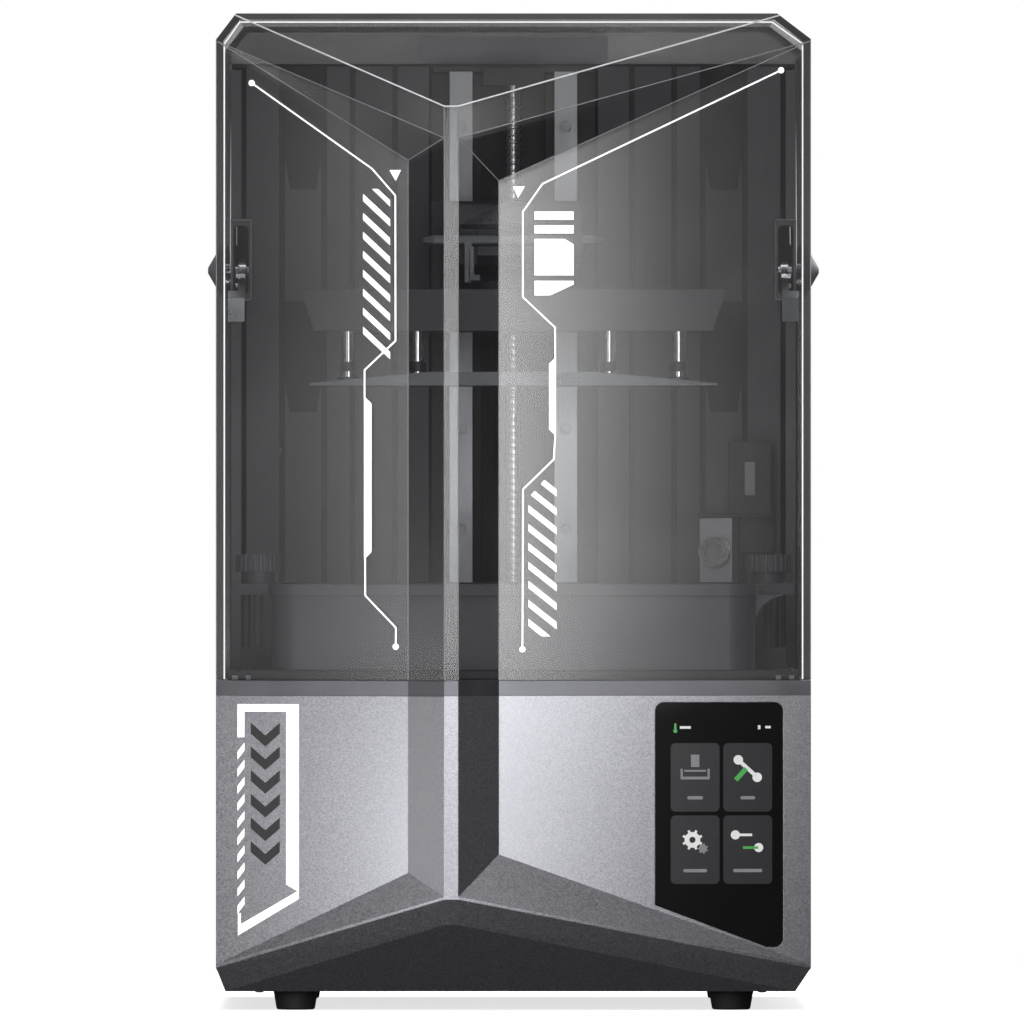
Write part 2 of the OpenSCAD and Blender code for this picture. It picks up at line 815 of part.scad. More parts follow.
module guide_rails() color("#c6c8cb") {
    for (s = [-1, 1])
        difference() {
            block([s * rail_x - 6.4, rail_y, rail_bottom], [s * rail_x + 6.4, column_front_y, rail_top]);
            for (e = [-1, 1])
                block([s * rail_x + e * 6.9 - 1.3, rail_y + 2.4, 0], [s * rail_x + e * 6.9 + 1.3, rail_y + 4.6, 600]);
            for (i = [0:4])
                translate([s * rail_x, rail_y, rail_bottom + 32 + i * 56.5])
                    along_y(9) circle(d = 6, $fn = 32);
        }
    for (s = [-1, 1], i = [0:4])
        translate([s * rail_x, rail_y + 5.6, rail_bottom + 32 + i * 56.5]) difference() {
            along_y(2.8) circle(d = 5.6, $fn = 32);
            translate([0, -1, 0]) along_y(2) circle(d = 2.8, $fn = 6);
        }
}

screw_y = 88;

module lead_screw() color("#b9bbbf") {
    translate([0, screw_y, 0]) {
        translate([0, 0, 168]) cylinder(h = rail_top - 168, d = screw_d, $fn = 48);
        // coupling sleeve
        translate([0, 0, 151]) difference() {
            cylinder(h = 20, d = 19, $fn = 48);
            translate([0, 0, 9]) cylinder(h = 1.2, d = 24, $fn = 48);
        }
        translate([0, 0, 151]) cylinder(h = 20, d = 12, $fn = 48);
        translate([0, 0, 124]) cylinder(h = 28, d = 5, $fn = 32);
    }
}

module screw_bearing() color("#2a2a2c") {
    difference() {
        union() {
            block([-17, screw_y - 12, rail_top - 8], [17, column_front_y, rail_top + 2]);
            block([-45, column_front_y - 6, rail_top - 0.1], [45, column_front_y, rail_top + 3]);
        }
        translate([0, screw_y, 480]) cylinder(h = 60, d = screw_d + 0.1, $fn = 48);
    }
}

module lift_motor() color("#303033") {
    translate([0, screw_y, 0]) difference() {
        union() {
            translate([0, 0, 106]) linear_extrude(40) round_rect(42.3, 42.3, 4);
            block([-24, -21, 146], [24, 48, 150]);
            block([-24, 44, 128], [24, 48, 146]);
        }
        translate([0, 0, 120]) cylinder(h = 60, d = 5.1, $fn = 32);
    }
}

carriage_top = 448;
carriage_bottom = 398;
lever_y = -60;
lever_z = 424;

module lift_carriage() color("#2d2d30") {
    difference() {
        union() {
            block([-46, 72, carriage_bottom], [46, 78, carriage_top]);
            for (s = [-1, 1])
                block([s * rail_x - 13.5, 78, carriage_bottom + 3], [s * rail_x + 13.5, 99, carriage_top - 3]);
        }
        for (s = [-1, 1]) {
            block([s * rail_x - 6.7, rail_y - 0.3, 300], [s * rail_x + 6.7, 104, 500]);
        }
    }
}

module lead_nut() color("#b0924c") {
    difference() {
        union() {
            translate([0, screw_y, carriage_bottom + 12]) cylinder(h = 22, d = 14, $fn = 48);
            block([-12, 78.1, carriage_bottom + 14], [12, 84, carriage_bottom + 30]);
        }
        translate([0, screw_y, 380]) cylinder(h = 90, d = screw_d + 0.16, $fn = 48);
    }
}

module arm() color("#343437") {
    difference() {
        union() {
            along_x(76)
                polygon([
                    [72, 400], [72, 446], [60, 446], [40, 431], [-52, 431], [-52, 416],
                    [-46, 411], [30, 411], [44, 400]
                ]);
            for (s = [-1, 1]) block([s * 43 - 2.4, 40, 398], [s * 43 + 2.4, 72, 431]);
            block([-45, 62, 398], [45, 72, 431]);
            // lugs that hold the release bar
            mirrored() block([33, lever_y - 6, lever_z - 6], [38, -50, lever_z + 6]);
        }
        translate([0, lever_y, lever_z]) rotate([0, 90, 0])
            cylinder(h = 100, d = 6.1, center = true, $fn = 48);
        for (s = [-1, 1]) block([s * 22 - 9, -40, 420], [s * 22 + 9, 44, 440]);
        translate([0, bay_y, 400]) cylinder(h = 60, d = 16.1, $fn = 48);
        // slot for the hook of the lever
        block([-30, -60, 405], [-20, -44, 440]);
    }
}

module plate_hub() color("#3f3f43") {
    translate([0, bay_y, 0]) difference() {
        rotate_extrude($fn = 96)
            polygon([
                [0, 397], [24, 397], [24, 402], [8, 408], [8, 431.2], [30, 431.2], [30, 433.4],
                [19, 438.6], [12, 443], [0, 447]
            ]);
        translate([0, 0, 440]) cylinder(h = 10, d = 7, $fn = 6);
    }
}

module release_lever() color("#77777c") {
    translate([0, lever_y, lever_z]) {
        rotate([0, 90, 0]) cylinder(h = 88, d = 6, center = true, $fn = 48);
        mirrored() translate([44, 0, 0]) rotate([0, 90, 0]) cylinder(h = 6, d1 = 6, d2 = 3, $fn = 48);
        block([-27, -3, -20], [-23, 2.5, 0]);
        block([-27, -3, -23], [-23, 5.6, -19]);
    }
}

bracket_top = 397;
bracket_bottom = 374;

module plate_bracket() color("#3a3a3d") {
    translate([0, bay_y, 0]) difference() {
        along_y(plate_d)
            polygon([
                [-110, bracket_bottom], [110, bracket_bottom], [117, bracket_top - 2.4], [117, bracket_top],
                [-117, bracket_top], [-117, bracket_top - 2.4]
            ]);
        along_y(plate_d - 8)
            polygon([
                [-106, bracket_bottom + 4], [106, bracket_bottom + 4], [112.6, bracket_top + 1],
                [-112.6, bracket_top + 1]
            ]);
    }
    translate([0, bay_y, 0]) {
        difference() {
            block([-34, -40, bracket_bottom + 3], [34, 40, bracket_top - 0.1]);
            for (s = [-1, 1]) block([s * 24 - 7, -34, bracket_bottom + 8], [s * 24 + 7, 34, bracket_top + 1]);
        }
    }
}

post_rows = [-46, 46];
post_columns = [-91.5, -53, 53, 91.5];

module plate_posts() color("#d3d4d6") {
    translate([0, bay_y, 0]) for (x = post_columns, y = post_rows) {
        translate([x, y, 352.6]) cylinder(h = bracket_bottom - 352.6, d = 7, $fn = 48);
        translate([x, y, 348.8]) cylinder(h = 4, d = 8.4, $fn = 48);
    }
}

module build_plate() color("#8e9094") {
    edge = 1.4;
    ridge = 7.6;
    translate([0, bay_y, plate_z]) difference() {
        union() {
            along_y(plate_d)
                polygon([
                    [-plate_w / 2, 0], [plate_w / 2, 0], [plate_w / 2, edge], [46, ridge],
                    [-46, ridge], [-plate_w / 2, edge]
                ]);
            for (x = post_columns, y = post_rows)
                translate([x, y, 0]) cylinder(h = 5, d = 12, $fn = 48);
        }
        for (x = post_columns, y = post_rows)
            translate([x, y, 5]) cylinder(h = 20, d = 8.5, $fn = 48);
    }
}

// Camera and light ----------------------------------------------------------------------------

camera_x = 115.4;
camera_y = 84;

module camera_bracket() color("#3d3d40") {
    block([104, camera_y - 10, 271], [146, tower_front_y - 3.4, 273]);
    block([127, camera_y + 4, 251], [146, tower_front_y - 3.4, 271]);
}

module camera_body() color("#8b8b90") {
    translate([camera_x, camera_y, 252.4]) rotate([0, 0, -16])
        difference() {
            block([-9.4, -7, -18], [9.4, 7, 18]);
            translate([0, -6, -0.6]) along_y(10) circle(d = 11, $fn = 48);
        }
}

module camera_lens() color("#17171a") {
    translate([camera_x, camera_y, 251.8]) rotate([0, 0, -16]) {
        translate([0, -9, 0]) along_y(4) difference() {
            circle(d = 17, $fn = 64);
            circle(d = 10.4, $fn = 48);
        }
        translate([0, -6.4, 0]) along_y(8) circle(d = 10.4, $fn = 48);
    }
}

module chamber_light() color("#6f6f74") {
    difference() {
        block([120.6, camera_y - 12, 273], [144.4, camera_y + 12, 313]);
        block([129.4, camera_y - 13, 283], [135.6, camera_y - 10, 302]);
    }
    block([128, camera_y + 11, 280], [137, tower_front_y - 3.4, 306]);
}

// Lid -----------------------------------------------------------------------------------------

rail_low = 526.6;

module lid_side_mask() {
    edge_rise = (y_back - hinge_y) * tan(lid_edge_deg);
    along_x(body_w + 10) {
        polygon([
            [y_front - 5, lid_bottom], [hinge_y, lid_bottom], [hinge_y, hinge_z],
            [y_back, hinge_z + edge_rise], [y_back, body_h + 1], [y_front - 5, body_h + 1]
        ]);
        translate([hinge_y, hinge_z]) circle(r = 16, $fn = 96);
    }
}

module lid_shell() color("#55555a", 0.45) {
    // rear rail that ties the lid's sides together above the tower
    intersection() {
        block([-half_w, y_back - lid_wall, rail_low], [half_w, y_back, body_h]);
        along_y(body_d + 60) lid_section(0);
    }
    difference() {
        intersection() {
            lid_envelope();
            lid_side_mask();
        }
        intersection() {
            translate([0, lid_wall * 1.1, -lid_wall * 0.7]) lid_envelope();
            translate([0, 20, 0]) along_y(body_d + 60) lid_section(lid_wall);
        }
        block([-lid_in_x, y_corner + 10, seam_z], [lid_in_x, y_back + 5, 300]);
        translate([0, hinge_y, hinge_z]) rotate([0, 90, 0])
            cylinder(h = 400, d = 8.1, center = true, $fn = 48);
    }
}

arm_in_x = 150.4;

// Steel arms that carry the lid, angled so that they clear the windows of the side columns
module lid_hinge_arms() color("#85878b") {
    mirrored() difference() {
        union() {
            translate([arm_in_x + 2, 0, 0]) along_x(4)
                translate([hinge_y, hinge_z]) {
                    circle(r = 7, $fn = 48);
                    rotate(200) translate([0, -3]) square([64, 6]);
                }
            translate([0, hinge_y, hinge_z]) rotate([20, 0, 0])
                block([arm_in_x, -66, -7], [lid_in_x, -54, 7]);
        }
        translate([0, hinge_y, hinge_z]) rotate([0, 90, 0])
            cylinder(h = 400, d = 8.1, center = true, $fn = 48);
    }
}

module hinge_caps() color("#8f9094") {
    mirrored() translate([half_w, hinge_y, hinge_z]) rotate([0, 90, 0]) difference() {
        union() {
            cylinder(h = 1.2, r = 14, $fn = 96);
            translate([0, 0, 1.2]) cylinder(h = 7.2, r1 = 14, r2 = 1.6, $fn = 96);
        }
        translate([0, 0, -1]) cylinder(h = 3, d = 9, $fn = 48);
    }
}

module hinge_pins() color("#c2c4c8") {
    mirrored() translate([146, hinge_y, hinge_z]) rotate([0, 90, 0]) {
        cylinder(h = half_w - 146 + 1.4, d = 8, $fn = 48);
        translate([0, 0, -3]) cylinder(h = 3, d = 13, $fn = 48);
    }
}

base_housing();
bottom_plate();
rear_panel();
rubber_feet();
trim_band();
deck_frame();
screen_glass();
screen_module();
power_inlet();
switch_body();
switch_rocker();
usb_port();
rear_fan_frame();
rear_fan_rotor();
power_supply();
mainboard();
light_housing();
led_board();
heatsink();
collimator_lens();
light_fan_frame();
light_fan_rotor();
tilt_tray();
tilt_pins();
tilt_brackets();
tilt_motor();
tilt_pushrod();
lcd_panel();
vat_body();
film_frame();
release_film();
vat_knob_left();
vat_knob_right();
tower_cover();
tower_front();
tower_cap();
side_column_left();
side_column_right();
side_cheeks();
lift_column();
guide_rails();
lead_screw();
screw_bearing();
lift_motor();
lift_carriage();
lead_nut();
arm();
plate_hub();
release_lever();
plate_bracket();
plate_posts();
build_plate();
camera_bracket();
camera_body();
camera_lens();
chamber_light();
lid_shell();
lid_hinge_arms();
hinge_caps();
hinge_pins();
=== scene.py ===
import math

import bpy
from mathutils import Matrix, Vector


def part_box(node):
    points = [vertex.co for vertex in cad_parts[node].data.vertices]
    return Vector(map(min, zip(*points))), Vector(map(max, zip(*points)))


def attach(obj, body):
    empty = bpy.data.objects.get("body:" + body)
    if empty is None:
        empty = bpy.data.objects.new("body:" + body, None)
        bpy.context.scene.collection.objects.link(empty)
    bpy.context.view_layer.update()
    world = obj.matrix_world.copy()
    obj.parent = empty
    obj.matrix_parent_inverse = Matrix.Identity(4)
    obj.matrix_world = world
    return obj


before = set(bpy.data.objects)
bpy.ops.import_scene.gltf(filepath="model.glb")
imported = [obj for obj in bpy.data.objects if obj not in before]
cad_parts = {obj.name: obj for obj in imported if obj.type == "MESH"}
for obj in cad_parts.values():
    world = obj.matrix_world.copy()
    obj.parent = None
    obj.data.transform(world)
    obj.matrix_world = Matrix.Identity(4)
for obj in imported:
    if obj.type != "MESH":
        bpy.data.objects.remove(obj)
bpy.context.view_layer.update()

MM = 0.001

# ---- Helpers ---------------------------------------------------------------------------------


def colour(code):
    """Linear RGBA of an sRGB hex colour such as "#77777b"."""
    parts = [int(code[i:i + 2], 16) / 255 for i in (1, 3, 5)]
    return [c / 12.92 if c <= 0.04045 else ((c + 0.055) / 1.055) ** 2.4 for c in parts] + [1.0]


def add(tree, kind, inputs=None, **settings):
    """Adds one node, with its settings and with its inputs as values or as links from other sockets."""
    node = tree.nodes.new(kind)
    for name, value in settings.items():
        setattr(node, name, value)
    for key, value in (inputs or {}).items():
        if isinstance(value, bpy.types.NodeSocket):
            tree.links.new(value, node.inputs[key])
        else:
            node.inputs[key].default_value = value
    return node


def empty_material(name):
    """A material with a Principled shader and nothing linked to it yet."""
    material = bpy.data.materials.new(name)
    material.use_nodes = True
    return material, material.node_tree, material.node_tree.nodes["Principled BSDF"]


def pattern(tree, size_mm, stretch=(1, 1, 1), detail=3.0, kind="ShaderNodeTexNoise"):
    """A noise or cell pattern whose features are size_mm across, stretched along the axes."""
    place = add(tree, "ShaderNodeTexCoord").outputs["Object"]
    turned = add(tree, "ShaderNodeMapping", {"Vector": place, "Scale": stretch}).outputs["Vector"]
    settings = {"Vector": turned, "Scale": 1 / (size_mm * MM)}
    if kind == "ShaderNodeTexNoise":
        settings["Detail"] = detail
    return add(tree, kind, settings)


def blend_colours(tree, factor, dark, light):
    """A colour between two hex colours. A mix node keeps its colour sockets at places 6 and 7."""
    sockets = {0: factor, 6: colour(dark), 7: colour(light)}
    return add(tree, "ShaderNodeMix", sockets, data_type="RGBA").outputs[2]


def math_node(tree, kind, *values):
    """The result of one sum, product, comparison or the like."""
    return add(tree, "ShaderNodeMath", dict(enumerate(values)), operation=kind).outputs[0]


def ramp(tree, value, low, high):
    """Spreads a value that lies mostly between 0.3 and 0.7 over low to high."""
    return add(tree, "ShaderNodeMapRange",
               {"Value": value, "From Min": 0.3, "From Max": 0.7, "To Min": low, "To Max": high}).outputs[0]


def finish(name, dark, light, rough, metallic=0.0, grain=0.5, depth=0.02, patch=18.0, stretch=(1, 1, 1),
           edge=0.0, **sockets):
    """One made surface: two tones in patches, uneven gloss and a fine relief, all sized in millimetres."""
    material, tree, shader = empty_material(name)
    patches = pattern(tree, patch, detail=5.0).outputs[0]
    fine = pattern(tree, grain, stretch).outputs[0]
    blend = math_node(tree, "ADD", ramp(tree, patches, 0, 0.6), ramp(tree, fine, 0, 0.4))
    tree.links.new(blend_colours(tree, blend, dark, light), shader.inputs["Base Color"])
    tree.links.new(ramp(tree, patches, rough * 0.88, min(rough * 1.14, 1)), shader.inputs["Roughness"])
    relief = {"Height": fine, "Strength": 0.6, "Distance": depth * MM}
    if edge:
        relief["Normal"] = add(tree, "ShaderNodeBevel", {"Radius": edge * MM}, samples=4).outputs[0]
    tree.links.new(add(tree, "ShaderNodeBump", relief).outputs[0], shader.inputs["Normal"])
    shader.inputs["Metallic"].default_value = metallic
    for socket, value in sockets.items():
        shader.inputs[socket.replace("_", " ")].default_value = value
    return material


def shade_grooves(material, floor_y, code):
    """Paints shade into the base colour: darkens the groove floors at one depth, and every wall that faces
    sideways.
    """
    tree, shader = material.node_tree, material.node_tree.nodes["Principled BSDF"]
    place = add(tree, "ShaderNodeTexCoord").outputs["Object"]
    depth = add(tree, "ShaderNodeSeparateXYZ", {0: place}).outputs[1]
    floor_shade = math_node(tree, "COMPARE", depth, floor_y, 0.3 * MM)
    facing = add(tree, "ShaderNodeNewGeometry").outputs["True Normal"]
    sideways = math_node(tree, "ABSOLUTE", add(tree, "ShaderNodeSeparateXYZ", {0: facing}).outputs[0])
    # painted shade: groove floors and walls facing sideways take the dark colour
    mask = math_node(tree, "MAXIMUM", floor_shade, math_node(tree, "GREATER_THAN", sideways, 0.7))
    plain = shader.inputs["Base Color"].links[0].from_socket
    tone = add(tree, "ShaderNodeMix", {0: mask, 6: plain, 7: colour(code)}, data_type="RGBA").outputs[2]
    tree.links.new(tone, shader.inputs["Base Color"])


def glowing(name, code, strength):
    """A printed or lit sign: its own light, uneven by a few percent as a backlight is."""
    material, tree, shader = empty_material(name)
    shader.inputs["Base Color"].default_value = colour("#101012")
    shader.inputs["Emission Color"].default_value = colour(code)
    spots = pattern(tree, 6.0).outputs[0]
    tree.links.new(ramp(tree, spots, strength * 0.94, strength * 1.06), shader.inputs["Emission Strength"])
    shader.inputs["Roughness"].default_value = 0.25
    return material


# ---- Materials -------------------------------------------------------------------------------

# Powder coat with aluminium flake on steel: satin grey that sparkles in fine grains
def flake_coat():
    material, tree, shader = empty_material("flake_powder_coat")
    flakes = pattern(tree, 0.5, kind="ShaderNodeTexVoronoi")
    cells = add(tree, "ShaderNodeSeparateColor", {0: flakes.outputs["Color"]}).outputs[0]
    tree.links.new(blend_colours(tree, cells, "#78787d", "#949499"), shader.inputs["Base Color"])
    tree.links.new(ramp(tree, cells, 0.33, 0.42), shader.inputs["Roughness"])
    soft = add(tree, "ShaderNodeBevel", {"Radius": 0.7 * MM}, samples=4).outputs[0]
    bump = add(tree, "ShaderNodeBump", {"Height": flakes.outputs["Distance"], "Strength": 0.25,
                                        "Distance": 0.03 * MM, "Normal": soft})
    tree.links.new(bump.outputs[0], shader.inputs["Normal"])
    shader.inputs["Metallic"].default_value = 0.9
    return material


# The share of light the lid stops: in its plain walls (from, to), then in the places seen deeper
WALL_TINT, BORDER_TINT, RAIL_TINT, ROOF_TINT = (0.27, 0.31), 0.97, 0.68, 0.68


# Smoked acrylic: clear grey sheet, nearly black where it is seen along its thickness, and deeper
# along the roof and the rear rail. Its index is above acrylic's 1.49 because each face
# is half see-through, so that the whole wall reflects as much as a real sheet does.
def smoked_acrylic(wall_x, rail_y, rail_z, roof_z, cuts):
    material, tree, shader = empty_material("smoked_acrylic")
    place = add(tree, "ShaderNodeTexCoord").outputs["Object"]
    axes = add(tree, "ShaderNodeSeparateXYZ", {0: place}).outputs
    facing = add(tree, "ShaderNodeNewGeometry").outputs["Normal"]
    facings = add(tree, "ShaderNodeSeparateXYZ", {0: facing}).outputs
    front = math_node(tree, "LESS_THAN", facings[1], -0.4)
    level = math_node(tree, "GREATER_THAN", math_node(tree, "ABSOLUTE", facings[2]), 0.9)
    roof = math_node(tree, "MULTIPLY", level, math_node(tree, "GREATER_THAN", axes[2], roof_z))
    border = math_node(tree, "GREATER_THAN", math_node(tree, "ABSOLUTE", axes[0]), wall_x)
    for x, z, reach in cuts:
        along = add(tree, "ShaderNodeVectorMath", {0: place, 1: (x, 0, z)}, operation="DOT_PRODUCT")
        beyond = math_node(tree, "GREATER_THAN", along.outputs["Value"], reach)
        border = math_node(tree, "MAXIMUM", border, beyond)
    thick = math_node(tree, "MULTIPLY", front, border)
    rail = math_node(tree, "MULTIPLY", math_node(tree, "GREATER_THAN", axes[1], rail_y),
                     math_node(tree, "GREATER_THAN", axes[2], rail_z))
    haze = pattern(tree, 60.0).outputs[0]
    cover = ramp(tree, haze, *WALL_TINT)
    for mask, strength in ((thick, BORDER_TINT), (rail, RAIL_TINT), (roof, ROOF_TINT)):
        cover = math_node(tree, "MAXIMUM", math_node(tree, "MULTIPLY", mask, strength), cover)
    tree.links.new(cover, shader.inputs["Alpha"])
    shader.inputs["Base Color"].default_value = colour("#1c1c1f")
    tree.links.new(ramp(tree, haze, 0.22, 0.26), shader.inputs["Roughness"])
    shader.inputs["IOR"].default_value = 2.1
    return material


# White screen-print ink: flat and pale, with a painted glow so that it holds against the bright facets
ink_white = finish("screen_print_white", "#e4e4e6", "#f6f6f8", 0.45, grain=0.3, depth=0.01)
# Screen-print ink on the coat: flat and chalky beside the sparkle
ink_black = finish("screen_print_black", "#0d0d0f", "#151517", 0.5, grain=0.3, depth=0.01)
coat = flake_coat()
# Painted highlights on the lid's flame-polished acrylic edges: pale lines in three strengths, glowing
edge_highlight_bright = finish("polished_edge_bright", "#e2e2e6", "#f2f2f4", 0.15, grain=2.0, depth=0.0, patch=40.0)
edge_highlight_pale = finish("polished_edge_pale", "#9a9a9e", "#b0b0b4", 0.15, grain=2.0, depth=0.0, patch=40.0)
edge_highlight_soft = finish("polished_edge_soft", "#5c5c60", "#77777b", 0.15, grain=2.0, depth=0.0, patch=40.0)
# Painted light: the white ink and the edge beads get a glow of their own for light they catch
for glow_material, painted_glow in ((ink_white, 0.45), (edge_highlight_bright, 1.5), (edge_highlight_pale, 0.12), (edge_highlight_soft, 0.04)):
    glow_shader = glow_material.node_tree.nodes["Principled BSDF"]
    glow_shader.inputs["Emission Color"].default_value = colour("#ffffff")
    glow_shader.inputs["Emission Strength"].default_value = painted_glow
# Lines across the lid's front outline, just inside its corner cuts and its top: slope and distance
OUTLINE_CUTS = [(-0.7926, 0.6097, 0.4511), (0.6014, 0.799, 0.5211), (0.0, 1.0, 0.5445)]
lid_acrylic = smoked_acrylic(wall_x=0.15935, rail_y=0.1603, rail_z=0.5264, roof_z=0.5465, cuts=OUTLINE_CUTS)
# Smooth painted ABS: an even satin grey without sparkle
satin_abs = finish("painted_abs_satin", "#57575b", "#606064", 0.42, grain=0.4, depth=0.01, edge=0.5)
# Metallic paint on the band between lid and base: a soft sheen that runs along its length
band_paint = finish("metallic_band_paint", "#525257", "#5e5e63", 0.4, 0.8, grain=0.4, depth=0.01, edge=0.5)
# Spark-eroded ABS mouldings: dull charcoal with a fine leathery grain
charcoal_abs = finish("moulded_abs_charcoal", "#505054", "#5c5c60", 0.5, grain=0.6, depth=0.008, edge=0.4)
# The same moulding with painted shade: its groove floors and side walls are darkened in colour
groove_shaded_abs = finish("moulded_abs_ribbed", "#505054", "#5c5c60", 0.5, grain=0.6, depth=0.008, edge=0.4)
shade_grooves(groove_shaded_abs, 0.1029, "#1c1c1f")
dark_abs = finish("moulded_abs_dark", "#2a2a2d", "#333337", 0.5, grain=0.6, depth=0.01, edge=0.4)
light_abs = finish("moulded_abs_light_grey", "#8a8a8f", "#96969b", 0.45, grain=0.5, depth=0.015, edge=0.5)
# Brushed aluminium face of the camera and its rings
camera_face = finish("brushed_camera_face", "#b0b0b4", "#c8c8cc", 0.35, 0.5, grain=0.3, depth=0.008,
                     stretch=(1, 1, 0.1), edge=0.4)
# Fine-texture powder coat on sheet steel: matt near-black with orange-peel bumps
black_sheet = finish("powder_coated_sheet", "#27272a", "#303034", 0.6, grain=0.9, depth=0.05, edge=0.4)
# Nitrile rubber: dull black, faintly dusty
rubber = finish("nitrile_rubber", "#131314", "#1e1e20", 0.72, grain=0.4, depth=0.04, edge=0.3)
# Glass-filled nylon: dense black with a low sheen
nylon = finish("glass_filled_nylon", "#18181a", "#222225", 0.48, grain=0.4, depth=0.02, edge=0.3)
knob_nylon = finish("turned_acetal_knob", "#505054", "#5c5c60", 0.42, grain=0.4, depth=0.01, edge=0.3)
# Bright zinc on steel: pale metal with drawn lines along its length
zinc = finish("bright_zinc_steel", "#b9bbbf", "#cdd0d3", 0.3, 1.0, grain=0.5, depth=0.01,
              stretch=(1, 1, 0.05))
# Ground bearing steel for the rails: fine lines lengthways and a clean shine
ground_steel = finish("ground_rail_steel", "#b4b6ba", "#c8cace", 0.42, 0.6, grain=0.35, depth=0.008,
                      stretch=(1, 1, 0.04), edge=0.4)
# Rolled trapezoidal thread: polished flanks that flash one by one
thread_steel = finish("rolled_thread_steel", "#dcdee0", "#f2f3f4", 0.24, 1.0, grain=0.4, depth=0.005)
polished = finish("polished_chrome", "#d6d8da", "#e9ebec", 0.12, 1.0, grain=0.3, depth=0.002,
                  stretch=(1, 1, 0.1))
# Black anodised aluminium: dark, satin, metallic under the dye
# Deep black anodising on the lift's backbone: hardly any light comes back from it
deep_anodised = finish("deep_black_anodising", "#0c0c0e", "#151518", 0.5, grain=0.4, depth=0.02, edge=0.5)
anodised = finish("black_anodised_aluminium", "#2b2b2e", "#37373b", 0.42, 0.35, grain=0.4, depth=0.02,
                  edge=0.5)
vat_anodised = finish("grey_anodised_aluminium", "#444449", "#4f4f54", 0.44, 0.3, grain=0.4, depth=0.02,
                      edge=0.6)
blasted = finish("bead_blasted_aluminium", "#5c5e62", "#6a6c70", 0.46, 0.9, grain=0.5, depth=0.03, edge=0.4)
extruded = finish("extruded_aluminium", "#b4b7bb", "#c6c9cc", 0.36, 1.0, grain=0.5, depth=0.01,
                  stretch=(0.05, 1, 1))
brass = finish("turned_brass", "#b08d44", "#c7a458", 0.28, 1.0, grain=0.4, depth=0.01)
board_green = finish("green_solder_mask", "#17482c", "#1f5c38", 0.35, grain=1.2, depth=0.03, patch=9.0,
                     Coat_Weight=0.4)
board_white = finish("white_solder_mask", "#d2d2cc", "#e2e2dc", 0.35, grain=1.2, depth=0.02)
# Chemically strengthened glass over the display: deep black and mirror smooth
cover_glass = finish("black_cover_glass", "#050506", "#0a0a0c", 0.07, grain=30.0, depth=0.0, patch=60.0,
                     Coat_Weight=0.12, Coat_Roughness=0.3)
lens_glass = finish("coated_lens_glass", "#07070b", "#16161d", 0.05, grain=3.0, depth=0.0, Coat_Weight=1.0)
clear_resin = finish("clear_lens_acrylic", "#cfdde4", "#dde9ee", 0.08, grain=4.0, depth=0.005, Alpha=0.35)
release = finish("fluoropolymer_film", "#dfe6ea", "#e9eef1", 0.15, grain=2.0, depth=0.01, Alpha=0.3)
cell = finish("cell_panel_black", "#060608", "#0c0c10", 0.12, grain=3.0, depth=0.0)
tile_grey = glowing("display_tile", "#2a2a2c", 0.75)
glyph_white = glowing("display_white", "#e8e8e8", 0.85)
glyph_grey = glowing("display_grey", "#9a9a9e", 0.6)
glyph_green = glowing("display_green", "#4fae56", 0.8)
lamp_panel = finish("frosted_lamp_panel", "#8f8f95", "#a5a5ab", 0.5, grain=0.8, depth=0.02)

WEARS = {
    coat: ["base_housing"],
    band_paint: ["trim_band"],
    satin_abs: ["side_column_left", "side_column_right"],
    charcoal_abs: ["side_cheeks"],
    groove_shaded_abs: ["tower_front"],
    dark_abs: ["deck_frame", "camera_bracket", "chamber_light", "screen_module", "light_housing"],
    black_sheet: ["bottom_plate", "rear_panel", "tower_cover", "tilt_brackets"],
    rubber: ["rubber_feet"],
    nylon: ["power_inlet", "switch_body", "switch_rocker", "rear_fan_frame", "rear_fan_rotor",
            "light_fan_frame", "light_fan_rotor", "tilt_motor", "lift_motor"],
    knob_nylon: ["vat_knob_left", "vat_knob_right"],
    zinc: ["usb_port", "tilt_pins", "tilt_pushrod", "hinge_pins", "lid_hinge_arms", "power_supply"],
    ground_steel: ["guide_rails"],
    thread_steel: ["lead_screw"],
    polished: ["plate_posts"],
    deep_anodised: ["lift_column"],
    anodised: ["tilt_tray", "lift_carriage", "arm", "screw_bearing", "plate_bracket"],
    vat_anodised: ["vat_body", "plate_hub"],
    blasted: ["build_plate", "release_lever"],
    extruded: ["heatsink", "film_frame"],
    brass: ["lead_nut"],
    board_green: ["mainboard"],
    board_white: ["led_board"],
    cover_glass: ["screen_glass"],
    lens_glass: ["camera_lens"],
    light_abs: ["hinge_caps", "tower_cap"],
    camera_face: ["camera_body"],
    clear_resin: ["collimator_lens"],
    release: ["release_film"],
    cell: ["lcd_panel"],
    lid_acrylic: ["lid_shell"],
}
for material, wearers in WEARS.items():
    for wearer in wearers:
        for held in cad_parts[wearer].material_slots:
            held.material = material

# ---- Pieces ----------------------------------------------------------------------------------


def piece(name, vertices, faces, material, body, slot, smooth=False):
    """A finished mesh whose vertices are already in place, in metres."""
    mesh = bpy.data.meshes.new(name)
    mesh.from_pydata([tuple(v) for v in vertices], [], faces)
    mesh.validate()
    mesh.shade_smooth() if smooth else mesh.shade_flat()
    if material:
        mesh.materials.append(material)
    thing = bpy.data.objects.new(name, mesh)
    bpy.context.scene.collection.objects.link(thing)
    if body:
        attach(thing, body)
    return thing


def area(outline):
    """Signed area of an outline, positive when it runs anticlockwise."""
    following = outline[1:] + outline[:1]
    return sum(a[0] * b[1] - b[0] * a[1] for a, b in zip(outline, following)) / 2


